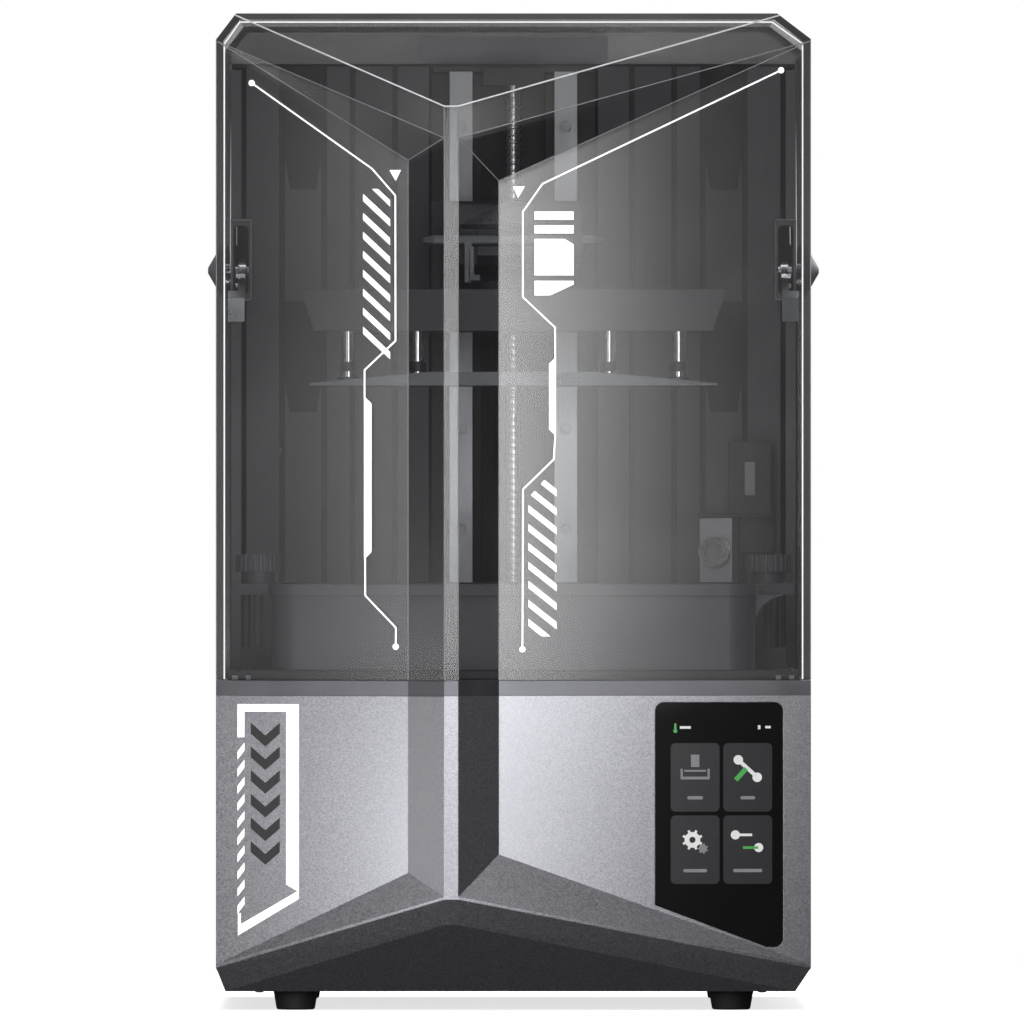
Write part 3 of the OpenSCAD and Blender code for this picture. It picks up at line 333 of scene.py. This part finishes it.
def print_solids(outlines, panel, proud, sunk=0.05):
    """Thin solids standing proud of a panel. The outlines are in millimetres, x and height."""
    vertices, faces = [], []
    for outline in outlines:
        shape = list(outline) if area(list(outline)) > 0 else list(outline)[::-1]
        first, count = len(vertices), len(shape)
        vertices += [panel(x, z, proud) for x, z in shape] + [panel(x, z, -sunk) for x, z in shape]
        faces.append([first + i for i in range(count)])
        faces.append([first + count + i for i in reversed(range(count))])
        for i in range(count):
            j = (i + 1) % count
            faces.append([first + i, first + count + i, first + count + j, first + j])
    return vertices, faces


def sloped_panel(x0, y0, x1, y1):
    """A vertical panel through two plan points: gives a place at x and height, so far in front of it."""
    length = math.hypot(x1 - x0, y1 - y0)
    out_x, out_y = (y1 - y0) / length, -(x1 - x0) / length

    def at(x, z, off):
        y = y0 + (x - x0) * (y1 - y0) / (x1 - x0)
        return Vector((x + out_x * off, y + out_y * off, z)) * MM
    return at


def ribbon(points, width):
    """Outline of a line of even width along the points, mitred at its corners."""
    left, right = [], []
    for i, (x, z) in enumerate(points):
        before = Vector(points[i]) - Vector(points[i - 1]) if i else None
        after = Vector(points[i + 1]) - Vector(points[i]) if i + 1 < len(points) else None
        runs = [run.normalized() for run in (before, after) if run is not None]
        middle = sum(runs, Vector((0, 0))).normalized()
        across = Vector((-middle.y, middle.x))
        reach = width / 2 / max(abs(across.dot(Vector((-runs[0].y, runs[0].x)))), 0.3)
        left.append((x + across.x * reach, z + across.y * reach))
        right.append((x - across.x * reach, z - across.y * reach))
    return left + right[::-1]


def disc(x, z, r, sides=28):
    return [(x + r * math.cos(2 * math.pi * i / sides), z + r * math.sin(2 * math.pi * i / sides))
            for i in range(sides)]


def bar(x0, z0, x1, z1):
    return [(x0, z0), (x1, z0), (x1, z1), (x0, z1)]


def round_bar(x0, z0, x1, z1, r, steps=5):
    """A rectangle with round corners."""
    outline = []
    corners = ((x1 - r, z0 + r, -90), (x1 - r, z1 - r, 0), (x0 + r, z1 - r, 90), (x0 + r, z0 + r, 180))
    for cx, cz, start in corners:
        for i in range(steps + 1):
            turn = math.radians(start + 90 * i / steps)
            outline.append((cx + r * math.cos(turn), cz + r * math.sin(turn)))
    return outline


# ---- Geometry Nodes for what repeats ------------------------------------------------------------


def new_tree(name, inputs):
    """An empty geometry tree with its named inputs and one geometry output."""
    tree = bpy.data.node_groups.new(name, "GeometryNodeTree")
    tree.interface.new_socket("Geometry", in_out="INPUT", socket_type="NodeSocketGeometry")
    for label, kind in inputs:
        tree.interface.new_socket(label, in_out="INPUT", socket_type=kind)
    tree.interface.new_socket("Geometry", in_out="OUTPUT", socket_type="NodeSocketGeometry")
    return tree, add(tree, "NodeGroupInput").outputs


def end_tree(tree, given, shape):
    """Ends a tree: instances made real, material set."""
    real = add(tree, "GeometryNodeRealizeInstances", {0: shape}).outputs[0]
    dressed = add(tree, "GeometryNodeSetMaterial", {"Geometry": real, "Material": given["Material"]})
    add(tree, "NodeGroupOutput", {0: dressed.outputs[0]})
    return tree


def copies_on(tree, points, shape, **more):
    """Copies of a shape, one on each point."""
    return add(tree, "GeometryNodeInstanceOnPoints", {"Points": points.outputs[0], "Instance": shape, **more})


def row_tree():
    """Copies of one item along a straight row."""
    tree, given = new_tree("Row of items", [("Count", "NodeSocketInt"), ("Step", "NodeSocketVector"),
                                           ("Material", "NodeSocketMaterial")])
    line = add(tree, "GeometryNodeMeshLine", {"Count": given["Count"], "Offset": given["Step"]})
    copies = copies_on(tree, line, given["Geometry"])
    return end_tree(tree, given, copies.outputs[0])


def ring_tree():
    """Copies of one item turned about an axis through a centre. The item is drawn beside the centre."""
    tree, given = new_tree("Ring of items", [("Count", "NodeSocketInt"), ("Centre", "NodeSocketVector"),
                                            ("Axis", "NodeSocketVector"), ("Material", "NodeSocketMaterial")])
    points = add(tree, "GeometryNodeMeshLine", {"Count": given["Count"], "Offset": (0, 0, 0)})
    turn = math_node(tree, "DIVIDE", 2 * math.pi, given["Count"])
    number = add(tree, "GeometryNodeInputIndex").outputs[0]
    angle = math_node(tree, "MULTIPLY", turn, number)
    about = add(tree, "ShaderNodeVectorMath", {0: given["Axis"], "Scale": angle}, operation="SCALE")
    copies = copies_on(tree, points, given["Geometry"], Rotation=about.outputs[0])
    moved = add(tree, "GeometryNodeTransform",
                {"Geometry": copies.outputs[0], "Translation": given["Centre"]})
    return end_tree(tree, given, moved.outputs[0])


def grid_tree():
    """Copies of one item in rows and columns."""
    tree, given = new_tree("Grid of items", [("Columns", "NodeSocketInt"), ("Rows", "NodeSocketInt"),
                                            ("Column step", "NodeSocketVector"),
                                            ("Row step", "NodeSocketVector"),
                                            ("Material", "NodeSocketMaterial")])
    line = add(tree, "GeometryNodeMeshLine", {"Count": given["Columns"], "Offset": given["Column step"]})
    first = copies_on(tree, line, given["Geometry"])
    rows = add(tree, "GeometryNodeMeshLine", {"Count": given["Rows"], "Offset": given["Row step"]})
    copies = copies_on(tree, rows, first.outputs[0])
    return end_tree(tree, given, copies.outputs[0])


def thread_tree():
    """A screw thread: a wire wound round a rod."""
    tree, given = new_tree("Screw thread", [("Turns", "NodeSocketFloat"), ("Radius", "NodeSocketFloat"),
                                           ("Height", "NodeSocketFloat"), ("Wire", "NodeSocketFloat"),
                                           ("Foot", "NodeSocketVector"), ("Material", "NodeSocketMaterial")])
    coil = add(tree, "GeometryNodeCurveSpiral",
               {"Resolution": 28, "Rotations": given["Turns"], "Start Radius": given["Radius"],
                "End Radius": given["Radius"], "Height": given["Height"]})
    wire = add(tree, "GeometryNodeCurvePrimitiveCircle", {"Resolution": 6, "Radius": given["Wire"]})
    swept = add(tree, "GeometryNodeCurveToMesh", {"Curve": coil.outputs[0], "Profile Curve": wire.outputs[0],
                                                  "Fill Caps": True})
    moved = add(tree, "GeometryNodeTransform", {"Geometry": swept.outputs[0], "Translation": given["Foot"]})
    return end_tree(tree, given, moved.outputs[0])


def bead_tree():
    """A round bead along each edge of a wire frame, to carry a painted edge highlight."""
    tree, given = new_tree("Highlight bead along edges",
                           [("Radius", "NodeSocketFloat"), ("Material", "NodeSocketMaterial")])
    paths = add(tree, "GeometryNodeMeshToCurve", {0: given["Geometry"]})
    wire = add(tree, "GeometryNodeCurvePrimitiveCircle", {"Resolution": 8, "Radius": given["Radius"]})
    swept = add(tree, "GeometryNodeCurveToMesh", {"Curve": paths.outputs[0], "Profile Curve": wire.outputs[0],
                                                  "Fill Caps": True})
    return end_tree(tree, given, swept.outputs[0])


def grown(name, item, tree, material, body, slot, **values):
    """Runs a tree on an item and keeps the plain mesh that comes out as one piece."""
    modifier = item.modifiers.new("repeat", "NODES")
    modifier.node_group = tree
    values["Material"] = material
    for socket in tree.interface.items_tree:
        label = socket.name.replace(" ", "_")
        if socket.in_out == "INPUT" and label in values:
            modifier[socket.identifier] = values[label]
    evaluated = item.evaluated_get(bpy.context.evaluated_depsgraph_get())
    mesh = bpy.data.meshes.new_from_object(evaluated)
    mesh.name = name
    item.modifiers.remove(modifier)
    bpy.data.objects.remove(item)
    thing = bpy.data.objects.new(name, mesh)
    bpy.context.scene.collection.objects.link(thing)
    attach(thing, body)
    return thing


ROW, RING, GRID, THREAD, BEAD = row_tree(), ring_tree(), grid_tree(), thread_tree(), bead_tree()


def turned_item(name, profile, sides, start=(0, 0, 0), axis="z"):
    """A solid of revolution for the trees to repeat: profile is (radius, height) from its foot up, in mm."""
    vertices, faces = [], []
    for r, h in profile:
        for i in range(sides):
            a = 2 * math.pi * i / sides
            local = (r * math.cos(a), r * math.sin(a), h)
            if axis == "y":
                local = (local[0], local[2], local[1])
            elif axis == "-z":
                local = (local[0], -local[1], -local[2])
            vertices.append((Vector(local) + Vector(start)) * MM)
    for k in range(len(profile) - 1):
        for i in range(sides):
            j = (i + 1) % sides
            faces.append([k * sides + i, k * sides + j, (k + 1) * sides + j, (k + 1) * sides + i])
    faces.append([i for i in reversed(range(sides))])
    faces.append([(len(profile) - 1) * sides + i for i in range(sides)])
    if axis == "y":
        faces = [face[::-1] for face in faces]
    return piece(name, vertices, faces, None, None, None)


# ---- Printed lines on the lid -------------------------------------------------------------------

HALF_W, CORNER_Y, CREST_Y = 163.4, -126.5, -164.5
left_panel = sloped_panel(-HALF_W, CORNER_Y, -57.7, CREST_Y + 11)
right_panel = sloped_panel(-8.0, CREST_Y + 20, HALF_W, CORNER_Y)
LINE = 0.85

left_lines = [
    ribbon([(-143.7, 509.7), (-77.5, 462.4), (-64.7, 447.6), (-64.6, 368.0), (-81.6, 352.0), (-81.6, 336)],
           LINE),
    ribbon([(-81.3, 249), (-81.2, 228.4), (-64.4, 210.8), (-64.5, 200.4)], LINE),
    disc(-143.7, 509.7, 1.7), disc(-64.5, 200.4, 1.7),
    [(-81.9, 337.7), (-77.8, 333.6), (-77.8, 252.3), (-81.9, 248.2)],
    [(-67.9, 461.6), (-61.6, 461.6), (-64.5, 455.6)],
    [(-77.5, 451.3), (-67.6, 441.6), (-67.6, 445.1), (-74.3, 451.3)],
]
right_lines = [
    ribbon([(147.0, 516.8), (15.9, 454.2), (5.1, 438.8), (5.1, 392.1), (22.8, 375.4), (22.9, 358)], LINE),
    ribbon([(22.9, 316.5), (22.1, 303.1), (5.2, 286.6), (4.9, 198.9)], LINE),
    disc(147.0, 516.8, 1.7), disc(4.9, 198.9, 1.7),
    [(23.3, 359.2), (19.5, 355.4), (19.5, 319.6), (23.3, 315.8)],
    [(-0.3, 452.8), (6.3, 452.8), (2.5, 446.4)],
    # the hatch's first and last stripes, cut short
    [(15.0, 289.5), (23.6, 282.7), (23.6, 286.6), (17.0, 291.8)],
    [(9.6, 283.4), (23.6, 272.3), (23.6, 276.2), (11.6, 285.7)],
    [(8.2, 211.7), (15.4, 206.0), (20.3, 206.0), (8.2, 215.6)],
    # three plain blocks where the maker prints its own mark
    bar(11.5, 427, 33.0, 431.5), bar(11.5, 434.5, 33.0, 439),
    [(11.5, 404), (33.0, 404), (33.0, 421), (28, 424), (11.5, 424)],
    [(11.5, 393), (20, 393), (33.0, 399), (33.0, 401), (11.5, 401)],
]
piece("lid_print_left", *print_solids(left_lines, left_panel, 0.12), ink_white, "lid", "smoke_lid")
piece("lid_print_right", *print_solids(right_lines, right_panel, 0.12), ink_white, "lid", "smoke_lid")

STRIPE_H, STRIPE_PITCH = 3.9, 10.4


def hatch(name, panel, x0, z0, x1, z1, count):
    """Slanting stripes one below another: the first runs from x0, z0 down to x1, z1."""
    outline = [(x0, z0), (x1, z1), (x1, z1 + STRIPE_H), (x0, z0 + STRIPE_H)]
    stripe = piece("stripe", *print_solids([outline], panel, 0.12), ink_white, None, None)
    grown(name, stripe, ROW, ink_white, "lid", "smoke_lid", Count=count, Step=(0, 0, -STRIPE_PITCH * MM))


hatch("lid_hatch_left", left_panel, -82.4, 444.7, -67.6, 430.8, 8)
hatch("lid_hatch_right", right_panel, 8.2, 274.1, 23.6, 261.9, 6)

# ---- Painted highlights along the lid's edges -------------------------------------------------------


def wire_item(runs):
    """A frame of edges for the bead tree. Each run is a line of points in mm."""
    vertices, edges = [], []
    for run in runs:
        edges += [(len(vertices) + i, len(vertices) + i + 1) for i in range(len(run) - 1)]
        vertices += [Vector(point) * MM for point in run]
    thing = piece("edge_frame", vertices, [], None, None, None)
    mesh = bpy.data.meshes.new("edge_frame")
    mesh.from_pydata([tuple(v) for v in vertices], edges, [])
    thing.data = mesh
    return thing


LOW_Z, CREST_Z = 182.4, 479.0
brow_left, brow_right = (-152.8, -129.7, 547.0), (146.0, -129.9, 546.8)
crest_l, crest_r = (-37.9, CREST_Y, 496.3), (-30.2, CREST_Y, 496.3)
fold_l, fold_r = (-57.7, -153.5, 467.0), (-8.0, -144.5, 455.8)
corner_l, corner_r = (-HALF_W, CORNER_Y, 533.0), (HALF_W, CORNER_Y, 533.0)
bright_highlight_runs = [
    [(-158.9, -122.2, LOW_Z), (-158.9, -122.2, 531.4), (-150.4, -121.6, 543.4), (142.2, -121.6, 543.4),
     (158.9, -122.2, 531.4), (158.9, -122.2, LOW_Z)],
]
pale_highlight_runs = [[brow_left, crest_l, crest_r, brow_right]]
soft_highlight_runs = [
    [(-37.9, CREST_Y, LOW_Z), crest_l], [(-30.2, CREST_Y, LOW_Z), crest_r],
    [(-30.2, CREST_Y, CREST_Z), fold_r, corner_r], [(-30.2, CREST_Y, CREST_Z), corner_r],
    [(-37.9, CREST_Y, CREST_Z), fold_l, corner_l], [(-37.9, CREST_Y, CREST_Z), corner_l],
    [(-57.7, -153.5, LOW_Z), fold_l], [(-8.0, -144.5, LOW_Z), fold_r],
    [(-HALF_W + 0.2, CORNER_Y, LOW_Z), (-HALF_W + 0.2, CORNER_Y, 533)],
    [(HALF_W - 0.2, CORNER_Y, LOW_Z), (HALF_W - 0.2, CORNER_Y, 533)],
]
# Beads along the lid's edges, coloured pale and glowing as painted highlights
grown("lid_bright_edges", wire_item(bright_highlight_runs), BEAD, edge_highlight_bright, "lid", "smoke_lid", Radius=0.42 * MM)
grown("lid_pale_edges", wire_item(pale_highlight_runs), BEAD, edge_highlight_pale, "lid", "smoke_lid", Radius=0.42 * MM)
grown("lid_soft_edges", wire_item(soft_highlight_runs), BEAD, edge_highlight_soft, "lid", "smoke_lid", Radius=0.28 * MM)

# ---- Printed frame and display on the base --------------------------------------------------------

frame_print = [
    bar(-151.5, 164.6, -117.7, 168.7),
    [(-124.7, 168.0), (-124.7, 69.8), (-117.7, 65.6), (-117.7, 168.0)],
    [(-151.3, 41.6), (-117.7, 61.9), (-117.7, 66.6), (-151.3, 46.9)],
    bar(-151.5, 150.5, -147.7, 165.0),
    bar(-151.3, 43.0, -149.6, 54.0),
]
piece("base_print_frame", *print_solids(frame_print, left_panel, 0.12), ink_white, "frame", "painted_grey")
dash = print_solids([[(-151.5, 138.2), (-147.7, 143.2), (-147.7, 147.6), (-151.5, 142.6)]], left_panel, 0.12)
grown("base_print_dashes", piece("dash", *dash, ink_white, None, None), ROW, ink_white, "frame",
      "painted_grey", Count=10, Step=(0, 0, -9.4 * MM))
plain_blocks = [[(-144.2, z), (-136.2, z - 7), (-128.2, z), (-128.2, z + 6), (-136.2, z - 1), (-144.2, z + 6)]
                for z in (152.5, 139.5, 126.5, 113.5, 100.5, 87.5)]
piece("base_print_blocks", *print_solids(plain_blocks, left_panel, 0.1), ink_black, "frame", "painted_grey")

TILE_L, TILE_R, TILE_W = 86.3, 115.2, 26.8
GLASS_PROUD = 0.5


def on_glass(x, z, off):
    return right_panel(x, z, off + GLASS_PROUD)


tiles = [round_bar(x, z, x + TILE_W, z + 37.6, 2.6) for x in (TILE_L, TILE_R) for z in (109.7, 70.0)]
piece("display_tiles", *print_solids(tiles, on_glass, 0.03, 0.02), tile_grey, "frame", "touch_glass")


def gear(x, z, teeth=8, r=4.4):
    outline = []
    for i in range(teeth):
        for part, reach in ((-0.3, r), (0.3, r), (0.36, r * 1.28), (0.64, r * 1.28)):
            a = 2 * math.pi * (i + part) / teeth
            outline.append((x + reach * math.cos(a), z + reach * math.sin(a)))
    return outline


def slant(x, z, long, wide, degrees):
    """A bar of the given length and width, centred and turned."""
    a = math.radians(degrees)
    along = (math.cos(a) * long / 2, math.sin(a) * long / 2)
    across = (-math.sin(a) * wide / 2, math.cos(a) * wide / 2)
    return [(x + i * along[0] + j * across[0], z + i * along[1] + j * across[1])
            for i, j in ((-1, -1), (1, -1), (1, 1), (-1, 1))]


white_marks = [gear(98.2, 94.2), slant(128.6, 133.3, 15, 2.1, -42), disc(123.4, 138.1, 2.6),
               disc(133.8, 128.5, 2.6), bar(122.6, 96.2, 131.0, 97.6), disc(121.8, 96.9, 2.5),
               bar(91.3, 155.2, 97.3, 156.6), bar(134.2, 154.9, 135.6, 157.1),
               bar(138.2, 155.4, 141.2, 156.7), disc(134.6, 89.9, 2.5)]
grey_marks = [bar(93.7, 131.6, 105.7, 132.6), bar(91.7, 127.4, 107.7, 128.9), bar(91.7, 128.9, 92.9, 133.2),
              bar(106.5, 128.9, 107.7, 133.2), bar(97.4, 134.2, 102.0, 141.0), gear(104.0, 89.4, 7, 2.3),
              round_bar(95.4, 116.4, 104.0, 118.2, 0.8), round_bar(124.6, 116.4, 132.6, 118.2, 0.8),
              round_bar(93.2, 76.4, 106.2, 78.2, 0.8), round_bar(120.6, 76.4, 136.6, 78.2, 0.8)]
green_marks = [slant(124.9, 130.2, 8.5, 2.6, 48), bar(126.0, 89.2, 134.4, 90.6),
               round_bar(88.2, 153.6, 89.4, 158.2, 0.5), disc(88.8, 154.0, 1.1)]
for name, outlines, proud, glow in (("display_marks_white", white_marks, 0.06, glyph_white),
                                    ("display_marks_grey", grey_marks, 0.06, glyph_grey),
                                    ("display_marks_green", green_marks, 0.08, glyph_green),
                                    ("display_gear_eye", [disc(98.2, 94.2, 1.7)], 0.1, tile_grey)):
    piece(name, *print_solids(outlines, on_glass, proud, 0.0), glow, "frame", "touch_glass")

# ---- Lift: thread, collars, hub details -----------------------------------------------------------

screw_low, screw_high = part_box("lead_screw")
seed_item = piece("thread_seed", [(0, 0, 0)], [], None, None, None)
PITCH = 4.0
TURNS = 82
grown("lead_screw_thread", seed_item, THREAD, thread_steel, "screw", "plated_steel",
      Turns=float(TURNS), Radius=3.8 * MM, Height=TURNS * PITCH * MM, Wire=1.15 * MM,
      Foot=(0.0, 0.088, 0.1845))

collar = [(4.1, 0), (4.5, 0.4), (4.5, 5.2), (4.1, 5.6)]
item = turned_item("collar", collar, 24, (-91.5, -71, 351.6))
grown("post_collars", item, GRID, anodised, "carriage", "tray_metal", Columns=2, Rows=2,
      Column_step=(0.183, 0, 0), Row_step=(0, 0.092, 0))
item = turned_item("collar", collar, 24, (-53, -71, 351.6))
grown("post_collars_inner", item, GRID, anodised, "carriage", "tray_metal", Columns=2, Rows=2,
      Column_step=(0.106, 0, 0), Row_step=(0, 0.092, 0))

# Button-head screws: low domes with a driver recess, in rows and grids
def screw_item(where, r=2.8, axis="y"):
    dome = [(r, -0.4), (r, 0.5), (r * 0.82, 1.1), (r * 0.5, 1.35), (r * 0.46, 0.5)]
    return turned_item("screw_head", dome, 16, where, axis)


def screw_grid(name, first, columns_apart, rows, rows_apart, r=2.8, axis="y"):
    """Two columns of screws on the frame. The spacings are in metres."""
    grown(name, screw_item(first, r, axis), GRID, zinc, "frame", "plated_steel", Columns=2, Rows=rows,
          Column_step=(columns_apart, 0, 0), Row_step=rows_apart)


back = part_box("rear_panel")[1][1] / MM
tower_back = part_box("tower_cover")[1][1] / MM
screw_grid("rear_panel_screws", (-153, back, 34), 0.306, 4, (0, 0, 0.043))
screw_grid("tower_screws", (-146, tower_back, 196), 0.292, 5, (0, 0, 0.062))
screw_grid("bottom_plate_screws", (-140, -96, 10.7), 0.277, 4, (0, 0.078, 0), 2.6, "-z")


# ---- Camera, hinge windows and carriage details ----------------------------------------------------


def block_faces(first):
    return [[first + i for i in q] for q in
            ((0, 3, 2, 1), (4, 5, 6, 7), (0, 1, 5, 4), (1, 2, 6, 5), (2, 3, 7, 6), (3, 0, 4, 7))]


def blocks(name, corners, material, body, slot, round_mm=0.4):
    """Several bars joined in one piece, with rounded edges. Corners are lowest and highest points in mm."""
    vertices, faces = [], []
    for (x0, y0, z0), (x1, y1, z1) in corners:
        faces += block_faces(len(vertices))
        vertices += [Vector(p) * MM for p in ((x0, y0, z0), (x1, y0, z0), (x1, y1, z0), (x0, y1, z0),
                                              (x0, y0, z1), (x1, y0, z1), (x1, y1, z1), (x0, y1, z1))]
    thing = piece(name, vertices, faces, material, body, slot)
    soft = thing.modifiers.new("rounding", "BEVEL")
    soft.width, soft.segments = round_mm * MM, 2
    return thing


def mirror_blocks(corners):
    """The corners and their mirror images across the middle."""
    return corners + [((-b[0], a[1], a[2]), (-a[0], b[1], b[2])) for a, b in corners]


# Link of each lid hinge, which swings with the lid, and a bright zinc block on the frame for a painted glint
links = [((150.2, 96.6, 399.5), (156.0, 99.2, 402.0)), ((150.2, 96.6, 405.0), (156.0, 99.2, 407.5)),
         ((152.8, 96.2, 399.5), (154.6, 99.4, 407.5))]
blocks("hinge_links", mirror_blocks(links), zinc, "lid", "plated_steel", 0.3)
glint_blocks = [((154.9, 95.8, 423.5), (155.9, 99.0, 434.0))]
# painted glint: a bright zinc block where the hinge window shows a white line
blocks("hinge_stops", mirror_blocks(glint_blocks), zinc, "frame", "plated_steel", 0.3)
# Bright lips round the hinge windows
lips = [((146.6, 94.9, 392.6), (147.8, 96.3, 438.2)), ((157.6, 94.9, 392.6), (158.8, 96.3, 438.2)),
        ((146.6, 94.9, 437.2), (158.8, 96.3, 438.4)), ((146.6, 94.9, 392.4), (158.8, 96.3, 393.6))]
blocks("window_lips", mirror_blocks(lips), light_abs, "frame", "smooth_grey", 0.3)
# Felt pads on the deck that the lid closes on
pads = [((151.4, -122.6, 181.9), (154.6, -118.4, 184.4)), ((144.2, -122.6, 181.9), (147.2, -118.4, 184.4))]
blocks("deck_pads", mirror_blocks(pads), light_abs, "frame", "dark_abs", 0.3)


def ring_solid(name, where, r_in, r_out, long, material, body, slot, turn=0.0, sides=48):
    """A tube standing along Y, turned about Z by some degrees. where is the middle of its front, in mm."""
    vertices, faces = [], []
    c, s = math.cos(math.radians(turn)), math.sin(math.radians(turn))
    for r, y in ((r_in, 0), (r_out, 0), (r_out, long), (r_in, long)):
        for i in range(sides):
            a = 2 * math.pi * i / sides
            x = r * math.cos(a)
            vertices.append((Vector((x * c - y * s, x * s + y * c, r * math.sin(a))) + Vector(where)) * MM)
    for k in range(4):
        for i in range(sides):
            j = (i + 1) % sides
            faces.append([k * sides + i, k * sides + j, (k + 1) % 4 * sides + j, (k + 1) % 4 * sides + i])
    return piece(name, vertices, faces, material, body, slot)


EYE, EYE_TURN = (115.4, 84.0, 251.8), -16.0
turn_c, turn_s = math.cos(math.radians(EYE_TURN)), math.sin(math.radians(EYE_TURN))


def eye_front(back_by):
    """A point on the camera's optical axis, ahead of its pivot, in mm."""
    return (EYE[0] + back_by * turn_s, EYE[1] - back_by * turn_c, EYE[2])


ring_solid("camera_outer_ring", eye_front(11.6), 8.0, 8.9, 1.2, camera_face, "frame", "camera_grey", EYE_TURN)
ring_solid("camera_inner_ring", eye_front(11.2), 6.0, 6.6, 1.2, camera_face, "frame", "camera_grey", EYE_TURN)
blocks("camera_lamp_window", [((129.4, 69.4, 283.0), (135.6, 71.9, 302.0))], lamp_panel, "frame",
       "dark_abs", 0.5)

# Fine ribs round the clamp hub, and the hook at the end of its release bar
HUB_TOP = (0.0, -0.025, 0.4334)
item = turned_item("rib", [(0.9, 0), (0.9, 2.2), (0.5, 2.6)], 10, (25.4, 0, 0), "z")
grown("hub_ribs", item, RING, anodised, "carriage", "tray_metal", Count=24, Centre=HUB_TOP, Axis=(0, 0, 1))
hook = [((-24.5, -63.5, 404.5), (-21.5, -60.2, 421)), ((-24.5, -63.5, 401.8), (-18.2, -60.2, 405.2))]
blocks("release_hook", hook, blasted, "lever", "plate_aluminium", 0.5)

# ---- Stage: floor, lights, camera ------------------------------------------------------------------

scene = bpy.context.scene
scene.view_settings.view_transform = "Standard"


def floor_material():
    """A seamless white paper sweep, a little brighter than the lights alone make it."""
    material, tree, shader = empty_material("paper_sweep")
    shader.inputs["Base Color"].default_value = colour("#f4f4f4")
    shader.inputs["Roughness"].default_value = 0.9
    shader.inputs["Specular IOR Level"].default_value = 0.0
    shader.inputs["Emission Color"].default_value = colour("#ffffff")
    shader.inputs["Emission Strength"].default_value = 0.72
    return material


floor = piece("paper_floor", [(-1.6, -1.6, 0), (1.6, -1.6, 0), (1.6, 0.7, 0), (-1.6, 0.7, 0)], [[0, 1, 2, 3]],
              floor_material(), None, None)
floor.visible_glossy = False
floor.visible_diffuse = False

world = bpy.data.worlds.new("studio")
scene.world = world
world.use_nodes = True
sky = world.node_tree
sky.nodes.clear()
seen = add(sky, "ShaderNodeBackground", {"Color": colour("#ffffff"), "Strength": 1.0}).outputs[0]
dim = add(sky, "ShaderNodeBackground", {"Color": colour("#ffffff"), "Strength": 0.055}).outputs[0]
direct = add(sky, "ShaderNodeLightPath").outputs["Is Camera Ray"]
mixed = add(sky, "ShaderNodeMixShader", {0: direct, 1: dim, 2: seen}).outputs[0]
add(sky, "ShaderNodeOutputWorld", {0: mixed})


# Shares of full strength at the left and right ends of a box
RIGHT_FADE, LEFT_FADE = (1.0, 0.0), (0.0, 1.0)


def softbox(name, where, target, size, watts, fade=None):
    """A rectangular lamp aimed at a target, in metres. fade=(left, right) shades it across its width."""
    data = bpy.data.lights.new(name, "AREA")
    data.shape = "RECTANGLE"
    data.size, data.size_y = size
    data.energy = watts
    lamp = bpy.data.objects.new(name, data)
    scene.collection.objects.link(lamp)
    lamp.location = where
    lamp.rotation_euler = (Vector(target) - Vector(where)).to_track_quat("-Z", "Y").to_euler()
    lamp.visible_camera = False
    if fade:
        data.use_nodes = True
        tree = data.node_tree
        across = add(tree, "ShaderNodeNewGeometry").outputs["Parametric"]
        across = add(tree, "ShaderNodeSeparateXYZ", {0: across}).outputs[0]
        shade = add(tree, "ShaderNodeMapRange", {"Value": across, "To Min": fade[0], "To Max": fade[1]},
                    interpolation_type="SMOOTHSTEP").outputs[0]
        shade = add(tree, "ShaderNodeMath", {0: shade, 1: 2.0}, operation="POWER").outputs[0]
        tree.links.new(shade, tree.nodes["Emission"].inputs["Strength"])
    return lamp


softbox("box_right_lid", (0.135, -0.62, 0.338), (0.135, -0.14, 0.338), (0.22, 0.355), 3.8, RIGHT_FADE)
softbox("box_right_base", (0.095, -0.62, 0.06), (0.095, -0.14, 0.09), (0.13, 0.16), 1.2, RIGHT_FADE)
softbox("box_left_lid", (-0.35, -0.62, 0.35), (-0.35, -0.14, 0.35), (0.19, 0.38), 1.2, LEFT_FADE)
softbox("box_left_base", (-0.215, -0.62, 0.06), (-0.215, -0.14, 0.09), (0.10, 0.16), 1.15)
softbox("box_crest", (-0.034, -0.62, 0.335), (-0.034, -0.14, 0.335), (0.05, 0.33), 0.42)
softbox("box_far_left", (-1.0, -0.75, 0.06), (-0.05, -0.1, 0.06), (0.3, 0.2), 0.9)
softbox("box_front_fill", (0.0, -1.0, 1.5), (0.0, 0.05, 0.33), (0.5, 0.3), 11)
softbox("box_top", (0.0, 0.45, 1.6), (0.0, 0.05, 0.2), (1.0, 0.6), 18)
softbox("box_back", (0.3, 1.8, 1.0), (0.0, 0.1, 0.3), (1.2, 0.9), 12)
softbox("box_right_side", (1.3, 1.4, 0.8), (0.1, 0.0, 0.3), (0.8, 0.8), 8)

eye = bpy.data.cameras.new("eye")
eye.sensor_width = 36.0
eye.lens = 640.0
eye.shift_x = -0.0014
eye.shift_y = -0.031
eye.clip_start, eye.clip_end = 0.5, 200.0
camera = bpy.data.objects.new("eye", eye)
scene.collection.objects.link(camera)
camera.location = (0.0, -10.1265, 0.2916)
camera.rotation_euler = (math.pi / 2, 0, 0)
scene.camera = camera
